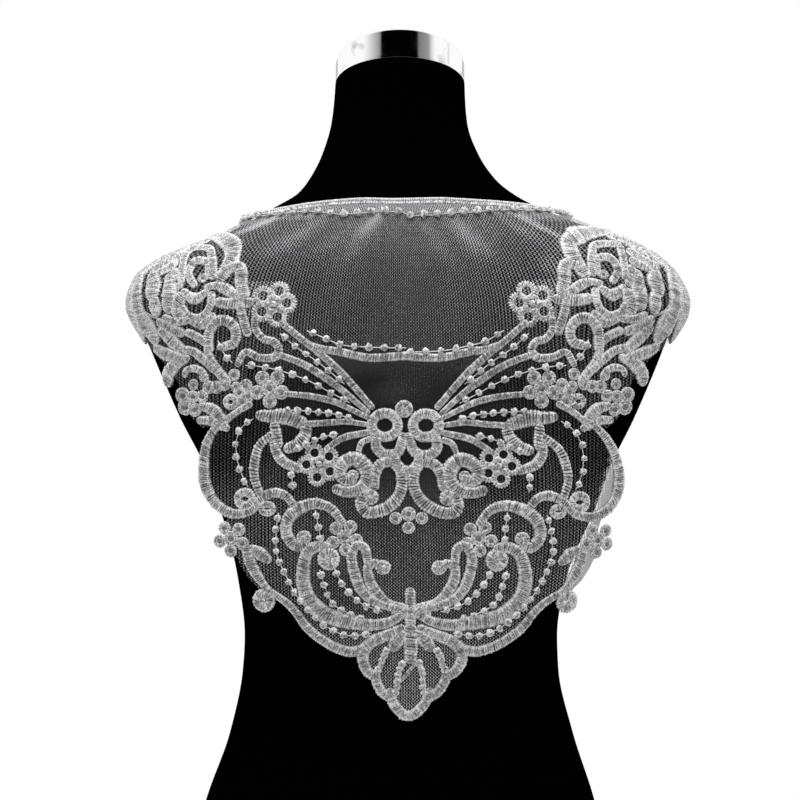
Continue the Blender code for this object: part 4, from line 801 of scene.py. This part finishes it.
def net_mesh(name, outline, spacing=4.2):
    """A single layer of net inside an outline on the plan, in small even triangles."""
    keep = np.linalg.norm(outline - np.roll(outline, -1, 0), axis=1) > 0.05
    outline = outline[keep]
    low, high = outline.min(0), outline.max(0)
    rows = np.arange(low[1] + 1, high[1], spacing * 0.866)
    grid = np.array([(x + (0.5 * spacing if k % 2 else 0), y) for k, y in enumerate(rows)
                     for x in np.arange(low[0], high[0], spacing)])
    grid = grid[inside(grid, outline)]
    nearest = np.min([np.hypot(*(grid - point).T) for point in outline], 0)
    grid = grid[nearest > 0.5 * spacing]
    flat = [Vector(p) for p in np.vstack([outline, grid])]
    edges = [(i, (i + 1) % len(outline)) for i in range(len(outline))]
    verts, _, faces, _, _, _ = delaunay_2d_cdt(flat, edges, [], 0, 0.001, True)
    plan = np.array([tuple(v) for v in verts])
    faces = np.array([list(face) for face in faces])
    faces = faces[inside(plan[faces].mean(1), outline)]
    used, faces = np.unique(faces, return_inverse=True)
    plan = plan[used]
    mesh = bpy.data.meshes.new(name)
    points = cloth_point(plan, np.full(len(plan), NET_LIFT))
    mesh.from_pydata((points * MM).tolist(), [], faces.reshape(-1, 3).tolist())
    close = mesh.attributes.new("density_and_painted_light", "FLOAT", "POINT")
    close.data.foreach_set("value", density_and_painted_light(name, plan).astype(np.float32))
    return mesh


def density_and_painted_light(name, plan):
    """How dense the net looks: more in the yoke, at the neck (partly painted light), on folds and down the
    lobes.
    """
    turn, height = plan[:, 0] / PLAN_RADIUS, plan[:, 1]
    if name == "bib_net":
        aside = np.abs(np.degrees(turn)) / 50
        right = smooth(FORM_SECTIONS, height)[:, 1]
        past = body_point(CLOTH_SECTIONS, turn, height)[:, 0] - right * PAST_SIDE
        # painted shade: past the form's right side the net is made more opaque, so it reads grey over the
        # white room
        return (np.interp(height, *zip(*BIB_CLOSENESS)) + 0.05 * aside
                + 0.05 * along_rows(FOLDS, turn, height) + OVERHANG_PAINTED_SHADE * np.clip(past / 3, 0, 1))
    edge = smooth(NECKLINE, (np.degrees(turn) + 180) % 360 - 180)[:, 0]
    # painted light: the yoke's net is made denser, and so lighter, towards the neck
    close = YOKE_CLOSE + NECK_PAINTED_LIGHT * np.clip((height - 505) / 70, 0, 1)**1.5
    close = close + STRIP_CLOSER * (height > edge - NECK_STRIP)
    return close + 0.12 * along_rows(FOLDS, turn, height) + along_rows(STREAKS, turn, height)


def scoop_line(side):
    """The seam between yoke and bib, from the middle out to the shoulder lace."""
    return np.vstack([across_to_plan(SCOOP_SEAM, side)[:-1], turn_to_plan(SHOULDER_BACK_SEAM[:1], side)])


def yoke_outline():
    top = neckline_plan(np.linspace(-90, 90, 61), CORD_RADIUS * 0.4)
    left, right = (np.vstack([scoop_line(side)[:-1], turn_to_plan(SHOULDER_BACK_SEAM, side)])
                   for side in (-1, 1))
    return finer(np.vstack([left[::-1][:-1], right, top[::-1], left[-1:]]))[:-1]


def front_outline():
    top = neckline_plan(np.linspace(90, 270, 61), CORD_RADIUS * 0.4)
    edge = SHOULDER_FRONT_SEAM[:-1] + FRONT_EDGE[1:]
    right, left = turn_to_plan(edge, 1), turn_to_plan(edge, -1) + (2 * math.pi * PLAN_RADIUS, 0)
    return finer(np.vstack([right[:-1], left[::-1], top[::-1], right[:1]]))[:-1]


def bib_outline():
    left, right = (np.vstack([scoop_line(side), turn_to_plan(SHOULDER_BIB_SEAM[1:-1], side),
                              across_to_plan(BIB_EDGE, side)]) for side in (-1, 1))
    return finer(np.vstack([left, right[:-1][::-1]]))[:-1]


def shoulder_outline(side):
    inner = turn_to_plan(SHOULDER_BIB_SEAM[:-2], side)[::-1]
    top = turn_to_plan(SHOULDER_BACK_SEAM[1:] + SHOULDER_FRONT_SEAM[1:-1], side)
    edge = turn_to_plan(SHOULDER_EDGE, side)[::-1]
    return finer(np.vstack([inner, top, edge, inner[:1]]))[:-1]


# ---------------- materials
class Nodes:
    """Adds nodes to a material or world, and leads them to its end node."""

    def __init__(self, owner, end="Principled BSDF"):
        owner.use_nodes = True
        self.owner, self.tree = owner, owner.node_tree
        self.end = self.tree.nodes[end]

    def put(self, socket, value):
        """Links an output to a socket, or sets a constant on it."""
        if isinstance(value, bpy.types.NodeSocket):
            self.tree.links.new(value, socket)
        else:
            socket.default_value = value

    def finish(self, **values):
        """Puts values on the end node's own sockets, and gives the owner."""
        for key, value in values.items():
            self.put(self.end.inputs[key.replace("_", " ")], value)
        return self.owner

    def add(self, kind, output, values=(), **settings):
        """An output of a new node."""
        made = self.tree.nodes.new("ShaderNode" + kind)
        for key, value in settings.items():
            setattr(made, key, value)
        for key, value in dict(values).items():
            self.put(made.inputs[key], value)
        return made.outputs[output]

    def math(self, operation, *values):
        return self.add("Math", 0, enumerate(values), operation=operation)

    def noise(self, place, scale, detail, roughness=0.5):
        return self.add("TexNoise", "Fac", {"Vector": place, "Scale": scale, "Detail": detail,
                                            "Roughness": roughness})

    def spread(self, value, low, high, to_low=0.0, to_high=1.0, **settings):
        """A value taken from one range to another."""
        return self.add("MapRange", "Result", {"Value": value, "From Min": low, "From Max": high,
                                               "To Min": to_low, "To Max": to_high}, **settings)

    def turned(self, vector):
        """A vector's turn from the camera's side, round the upright, and its upright part."""
        x, y, z = self.add("SeparateXYZ", 0, {"Vector": vector}).node.outputs
        return self.math("ARCTAN2", x, self.math("MULTIPLY", y, -1.0)), z

    def ramp(self, value, stops):
        """Colours between stops of place and colour."""
        colour = self.add("ValToRGB", "Color", {"Fac": value})
        made = colour.node.color_ramp.elements
        for stop, (place, shade) in zip(made, stops[:2]):
            stop.position, stop.color = place, (*shade, 1)
        for place, shade in stops[2:]:
            made.new(place).color = (*shade, 1)
        return colour

    def bump(self, height, strength, distance):
        return self.add("Bump", "Normal", {"Height": height, "Strength": strength, "Distance": distance})


def thread_material():
    """Matt cotton thread: lightness set by stitch, with painted highlight and shade in it, fine fibres and a
    slow change over the cloth.
    """
    nodes = Nodes(bpy.data.materials.new("white thread"))
    place = nodes.add("TexCoord", "Object")
    fibres = nodes.noise(place, 820.0, 3.0, 0.75)
    tone_and_painted_light = nodes.add("Attribute", "Fac", attribute_name="tone_and_painted_light")
    tone_and_painted_light = nodes.math("MULTIPLY", tone_and_painted_light, nodes.spread(fibres, 0.36, 0.64, 0.42, 1.38))
    tone_and_painted_light = nodes.math("MULTIPLY", tone_and_painted_light, nodes.spread(nodes.noise(place, 22.0, 2.0), 0.3, 0.7, 0.9, 1.06))
    colour = nodes.ramp(tone_and_painted_light, ((0.12, (0.015, 0.015, 0.016)), (1.0, (0.76, 0.76, 0.77)),
                               (0.6, (0.31, 0.31, 0.315))))
    return nodes.finish(Base_Color=colour, Normal=nodes.bump(fibres, 0.5, 0.0006), Roughness=0.8,
                        Specular_IOR_Level=0.25, Sheen_Weight=0.15, Sheen_Roughness=0.5)


def net_material():
    """Fine tulle: an even mesh of holes with upright wales, see-through between its threads."""
    nodes = Nodes(bpy.data.materials.new("tulle net"))
    place = nodes.add("TexCoord", "Object")
    turn, height = nodes.turned(place)
    across = nodes.math("MULTIPLY", turn, WALE_RADIUS * MM)
    across = nodes.math("ADD", across, nodes.math("MULTIPLY", nodes.noise(place, 9.0, 1.0), 0.006))

    def wave(value, pitch):
        """A wave from 0 to 1 with its pitch in millimetres."""
        scaled = nodes.math("MULTIPLY", value, 2 * math.pi / (pitch * MM))
        return nodes.spread(nodes.math("SINE", scaled), -1.0, 1.0)

    rising, falling = (wave(nodes.math(way, across, height), MESH_PITCH) for way in ("ADD", "SUBTRACT"))
    mesh = nodes.spread(nodes.math("MULTIPLY", rising, falling), 0.3, 0.95, 0.0, 1.15)
    # the wales are made stronger from 0.43 to 0.52 m up: painted light, the net lighter higher up
    bars = nodes.spread(wave(across, WALE_PITCH), 0.45, 1.0, 0.0, nodes.spread(height, 0.43, 0.52, 0.5, 0.7))
    broken = nodes.spread(nodes.noise(place, 700.0, 1.0), 0.35, 0.65, 0.7, 1.3)
    patches = nodes.spread(nodes.noise(place, 16.0, 2.0), 0.3, 0.7, 0.82, 1.18)
    # how dense the net is, with painted light towards the neck and painted shade past the form's right side
    dense = nodes.add("Attribute", "Fac", attribute_name="density_and_painted_light")
    threads = nodes.math("ADD", mesh, bars)
    for share in (patches, broken, dense):
        threads = nodes.math("MULTIPLY", threads, share)
    # opaque where the net is double, and past the form's right side as painted shade
    doubled_and_shaded = nodes.spread(dense, 0.9, 3.6, 0.0, 0.95)
    return nodes.finish(Alpha=nodes.math("ADD", threads, doubled_and_shaded), Base_Color=(0.42, 0.42, 0.43, 1),
                        Roughness=0.8, Specular_IOR_Level=0.2)


def form_material():
    """Black flock cloth on the form, so dull that it reads as a silhouette."""
    nodes = Nodes(bpy.data.materials.new("black form"))
    nap = nodes.noise(nodes.add("TexCoord", "Object"), 900.0, 2.0)
    colour = nodes.ramp(nap, ((0, (0.0002, 0.0002, 0.00025)), (1, (0.0006, 0.0006, 0.0007))))
    return nodes.finish(Base_Color=colour, Normal=nodes.bump(nap, 0.15, 0.0004), Roughness=0.92,
                        Specular_IOR_Level=0.0)


def chrome_material():
    """Polished metal with faint smudges."""
    nodes = Nodes(bpy.data.materials.new("polished cap"))
    smudge = nodes.noise(nodes.add("TexCoord", "Object"), 70.0, 4.0)
    colour = nodes.ramp(smudge, ((0.6, (0.97, 0.97, 0.98)), (0.74, (0.6, 0.6, 0.62))))
    rough = nodes.spread(smudge, 0.3, 0.7, 0.05, 0.13)
    return nodes.finish(Base_Color=colour, Roughness=rough, Metallic=1.0)


# ---------------- form
def section_ring(height, sides=FORM_SIDES):
    """One ring of the form's surface, spaced evenly round its curve."""
    left, right, back, front, power = smooth(FORM_SECTIONS, height)
    angle = np.linspace(0, 2 * math.pi, sides, endpoint=False)
    aside, behind = np.sin(angle), np.cos(angle)
    half_width = np.where(aside < 0, left, right)
    behind = np.copysign(np.maximum(np.abs(behind), TINY), behind)
    sine = np.sign(aside) * np.abs(aside)**(2 / power)
    cosine = np.sign(behind) * np.abs(behind)**(2 / power)
    turn = np.arctan2(half_width * sine, (front - back) / 2 * cosine)
    return body_point(FORM_SECTIONS, turn, np.full(sides, float(height)))


def loft_mesh(name, rings):
    """A closed body through rings of points, with flat ends."""
    rings = np.array(rings)
    rows, sides = rings.shape[:2]
    index = np.arange(rows * sides).reshape(rows, sides)
    beside = np.roll(np.arange(sides), -1)
    quads = np.stack([index[:-1], index[:-1][:, beside], index[1:][:, beside], index[1:]], -1)
    faces = quads.reshape(-1, 4).tolist() + [index[0][::-1].tolist(), index[-1].tolist()]
    mesh = bpy.data.meshes.new(name)
    mesh.from_pydata((rings.reshape(-1, 3) * MM).tolist(), [], faces)
    return mesh


def form_body(material):
    heights = np.concatenate([np.linspace(FOOT_ROUND, 500, 90), np.linspace(503, 620, 60),
                              np.linspace(625, FORM_TOP, 16)])
    rings = [section_ring(height) for height in heights]
    foot = rings[0] * (1, 1, 0)
    edge = foot + (rings[0] - foot) * 0.3
    rings = [foot * (0.992, 0.992, 1), edge * (0.997, 0.997, 1)] + rings
    return shown("dress_form", loft_mesh("dress_form", rings), material, "form", "form_torso")


def neck_cap(material):
    """The metal cap: a wedge of a disc, higher at the back, with a rounded top edge."""
    neck = section_ring(FORM_TOP)
    centre = np.array([0, (neck[:, 1].max() + neck[:, 1].min()) / 2, 0])
    shrink = CAP_HALF_WIDTH / neck[:, 0].max()
    foot = (neck - centre) * (shrink, shrink, 1) + centre + (0, 0, CAP_GAP)
    top = foot.copy()
    top[:, 2] = FORM_TOP + CAP_HEIGHT + CAP_TOP_SLOPE * (centre[1] - top[:, 1])

    def narrowed(ring, pull, drop=0.0):
        return (ring - centre) * (pull, pull, 1) + centre - (0, 0, drop)

    rings = [narrowed(foot + (top - foot) * share, pull)
             for share, pull in ((0.0, 0.988), (0.012, 0.9916), (0.04, 1.0))]
    rings += [foot + (top - foot) * share for share in np.linspace(0.1, 0.9, 9)]
    for turn in np.linspace(0, math.pi / 2, 7):
        pull = 1 - CAP_ROUND * (1 - math.cos(turn)) / CAP_HALF_WIDTH
        rings.append(narrowed(top, pull, CAP_ROUND * (1 - math.sin(turn))))
    level = top[:, 2].mean()
    for share in (0.9, 0.6, 0.3, 0.05):
        ring = narrowed(top, share)
        ring[:, 2] = level + (top[:, 2] - level) * share
        rings.append(ring)
    return shown("neck_cap", loft_mesh("neck_cap", rings), material, "cap", "form_neck_cap")


# ---------------- the collar's pieces
def on_bib(side):
    """What turns a bib table's line, or one place, into plan points for one side."""
    return (lambda places: curve_through(across_to_plan(places, side)),
            lambda across, height: across_to_plan([(across, height)], side)[0])


def draw_bib(side, material):
    """The stitches of one half of the bib."""
    work = Stitchwork("bib_lace_left" if side < 0 else "bib_lace_right", 11 + side)
    line, at = on_bib(side)
    for _, pitch, places in BIB_BEADS:
        work.beads(line(places), pitch)
    for name, widths, stitch, places in BIB_BANDS:
        # painted shade on the bib's bands, deepest on the ribs
        shade = RIB_SHADE if name.startswith("rib") else BIB_SHADE
        work.satin(line(places), widths, stitch, shade=shade, seen=True)
    for _, across, height, *sizes in BIB_RINGS:
        work.ring(at(across, height), *sizes)
    for _, across, height, *sizes in DOT_FLOWERS:
        work.dots(at(across, height), *sizes)
    for _, across, height, *sizes, turns in RING_FLOWERS:
        if side > 0:
            turns = tuple(180 - turn for turn in turns)
        work.ring_flower(at(across, height), *sizes, turns)
    return work.piece(material, "thread", "lace_bib")


def draw_middle(material):
    """The stitches that cross the bib's middle line."""
    work = Stitchwork("bib_lace_middle", 29)
    line, at = on_bib(1)
    for _, widths, stitch, places in MIDDLE_BANDS:
        # painted shade on the bands across the middle
        work.satin(line(places), widths, stitch, shade=BIB_SHADE)
    for _, across, height, *sizes in MIDDLE_RINGS:
        work.ring(at(across, height), *sizes)
    for _, across, height, *sizes in MIDDLE_DOTS:
        work.dots(at(across, height), *sizes)
    return work.piece(material, "thread", "lace_bib")


def draw_shoulder(side, material):
    """The stitches of one shoulder."""
    word = "left" if side < 0 else "right"
    work = Stitchwork("shoulder_lace_" + word, 41 + side)
    for _, pitch, places in SHOULDER_BEADS:
        work.beads(curve_through(turn_to_plan(places, side)), pitch)
    for _, repeated, widths, stitch, places in SHOULDER_BANDS:
        for over in (False, True)[:1 + repeated]:
            work.satin(curve_through(turn_to_plan(places, side, over)), widths, stitch, seen=True)
    for _, turn, height, *sizes in SHOULDER_RINGS:
        work.ring(turn_to_plan([(turn, height)], side)[0], *sizes)
    for turn, height, radius in SHOULDER_PADS:
        work.pad(turn_to_plan([(turn, height)], side)[0], radius)
    return work.piece(material, "thread", "lace_shoulder_" + word)


def draw_neck(material):
    """The rolled cord of the neck edge, with the stitches and the beads just under it."""
    work = Stitchwork("neck_edge", 53)
    turns = np.linspace(-180, 180, 361)
    edge = neckline_plan(turns)
    lengths = measured(edge)
    stitches = round(lengths[-1] / NECK_STITCH)
    share = ((np.arange(stitches)[:, None] + (0, 0.3, 0.7)) / stitches).reshape(-1)
    at = places_at(edge, lengths, share * lengths[-1])
    run = np.stack([np.ones(len(at)), np.gradient(at[:, 1]) / np.gradient(at[:, 0])], -1)
    left, ahead = sideways(at, run)
    swell = np.tile((0.0, 1.0, 1.0), stitches)[:, None]
    turn = np.linspace(0, 2 * math.pi, 12, endpoint=False)[::-1]
    radius = (CORD_RADIUS - 0.3) * (0.84 + 0.16 * swell)
    plan = at[:, None] + left[:, None] * (radius * np.cos(turn))[..., None]
    plan = plan + ahead[:, None] * (0.5 * np.sin(turn) * np.cos(turn))[None, :, None]
    lift = CORD_RADIUS - 0.5 + radius * np.sin(turn)
    # painted shade in the grooves between the cord's twists, lighter on their swells
    work.strip(cloth_point(plan, lift), 0.7 + 0.5 * swell, True)
    # painted light: the edging under the cord is made lighter, as the lamps only graze the top of the neck
    work.satin(neckline_plan(turns, EDGING_DOWN), (EDGING_WIDTH,) * 3, EDGING_STITCH, True, (0.05, 0.3),
               1.0, 1.3)
    under = neckline_plan(turns, np.interp(turns, *zip(*BEADS_DOWN)))
    work.beads(under, NECK_BEAD_PITCH, NECK_BEAD_RADIUS)
    return work.piece(material, "thread", "neck_cord")


def draw_scoop_beads(material):
    """Beads of the scooped cord: above the cord on the left, on its top edge on the right."""
    work = Stitchwork("scoop_beads", 61)
    for places in SCOOP_BEADS:
        work.beads(on_bib(1)[0](places), SCOOP_BEAD_PITCH)
    return work.piece(material, "thread", "lace_bib")


# ---------------- studio
# How light the room is round the form: turn from the camera's side, share of white.
ROOM = ((-180, 0.5), (-153, 0.55), (-148, 1), (-70, 1), (-52, 0.6), (-38, 0.3), (-34, 0.0005), (32, 0.0005),
        (35, 0.2), (54, 0.32), (60, 0.7), (68, 1), (96, 1), (99, 0.6), (102, 1), (148, 1), (153, 0.55),
        (180, 0.5))
CARD_TOP = (0.45, 0.6)      # above this rise, as a sine, the room is white all round


# Soft lamps: place, power in watts and size, all aimed at the middle of the part.
LAMPS = (
    ("key", (-1.1, -1.7, 1.6), 12.4, 0.5),
    ("fill", (1.5, -1.5, 1.0), 6.8, 0.9),
    ("top", (0, -0.5, 2.1), 24, 1.2),
    ("behind", (0.4, 1.9, 1.4), 14, 0.9),
)
AIM = (0, 0, 0.42)
FLOOR, FLOOR_RADII, FLOOR_SIDES = -0.0005, (0.05, 1.0, 20), 96     # its height, rings and their points


def studio():
    """A white room with a dark card behind the camera, soft lamps, and a pale floor."""
    scene = bpy.context.scene
    scene.world = bpy.data.worlds.new("studio")
    nodes = Nodes(scene.world, "Background")
    turn, rise = nodes.turned(nodes.add("TexCoord", "Generated"))
    room = nodes.ramp(nodes.spread(turn, -math.pi, math.pi),
                      [((degrees + 180) / 360, (value,) * 3) for degrees, value in ROOM])
    white = nodes.math("MAXIMUM", nodes.add("LightPath", "Is Camera Ray"), nodes.spread(rise, *CARD_TOP))
    nodes.finish(Color=nodes.add("Mix", 2, {"Factor": white, 6: room, 7: (1, 1, 1, 1)}, data_type="RGBA"),
                 Strength=1.0)
    for name, place, power, size in LAMPS:
        light = bpy.data.lights.new(name, "AREA")
        light.energy, light.size = power, size
        lamp = bpy.data.objects.new(name, light)
        lamp.location = place
        lamp.rotation_euler = (Vector(AIM) - Vector(place)).to_track_quat("-Z", "Y").to_euler()
        lamp.visible_glossy = False
        scene.collection.objects.link(lamp)
    mesh = bpy.data.meshes.new("floor")
    turns = np.linspace(0, 2 * math.pi, FLOOR_SIDES, endpoint=False)
    radii = np.linspace(*FLOOR_RADII)
    points = [(radius * math.cos(t), radius * math.sin(t), FLOOR) for radius in radii for t in turns]
    index = 1 + np.arange(len(points)).reshape(len(radii), -1)
    faces = [(0, here, beside) for here, beside in zip(index[0].tolist(), np.roll(index[0], -1).tolist())]
    mesh.from_pydata([(0, 0, FLOOR)] + points, [], faces + ring_quads(index[:-1], index[1:]))
    floor = bpy.data.objects.new("floor", mesh)
    scene.collection.objects.link(floor)
    nodes = Nodes(bpy.data.materials.new("pale floor"))
    middle = nodes.add("VectorMath", "Value", {0: nodes.add("TexCoord", "Object")}, operation="LENGTH")
    fade = nodes.spread(middle, 0.35, 0.65, 1.0, 0.0, interpolation_type="SMOOTHSTEP")
    mesh.materials.append(nodes.finish(Alpha=fade, Base_Color=(0.85, 0.85, 0.85, 1), Roughness=0.7))


# Metres, but for the sensor's millimetres; the frame is as wide as this at the middle of the form.
CAMERA_AWAY, CAMERA_HEIGHT, FRAME_WIDTH = 2.0, 0.4254, 0.632
SENSOR = 36.0


def camera():
    lens = bpy.data.cameras.new("camera")
    lens.sensor_width, lens.lens = SENSOR, SENSOR * CAMERA_AWAY / FRAME_WIDTH
    eye = bpy.data.objects.new("camera", lens)
    eye.location = (0, -CAMERA_AWAY, CAMERA_HEIGHT)
    eye.rotation_euler = (math.pi / 2, 0, 0)
    bpy.context.scene.collection.objects.link(eye)
    bpy.context.scene.camera = eye


def make_collar():
    thread, net = thread_material(), net_material()
    laid = {
        "bib_net": [draw_bib(-1, thread), draw_bib(1, thread), draw_middle(thread),
                    draw_scoop_beads(thread)],
        "shoulder_net_left": [draw_shoulder(-1, thread)],
        "shoulder_net_right": [draw_shoulder(1, thread)],
        "yoke_net": [draw_neck(thread)],
        "front_net": [],
    }
    outlines = {
        "yoke_net": (yoke_outline(), "net_yoke"),
        "bib_net": (bib_outline(), "lace_bib"),
        "shoulder_net_left": (shoulder_outline(-1), "lace_shoulder_left"),
        "shoulder_net_right": (shoulder_outline(1), "lace_shoulder_right"),
        "front_net": (front_outline(), "net_front"),
    }
    for name, (outline, node) in outlines.items():
        piece = shown(name, net_mesh(name, outline), net, "net", node)


bpy.context.scene.view_settings.view_transform = "Standard"
camera()
form_body(form_material())
neck_cap(chrome_material())
make_collar()
studio()
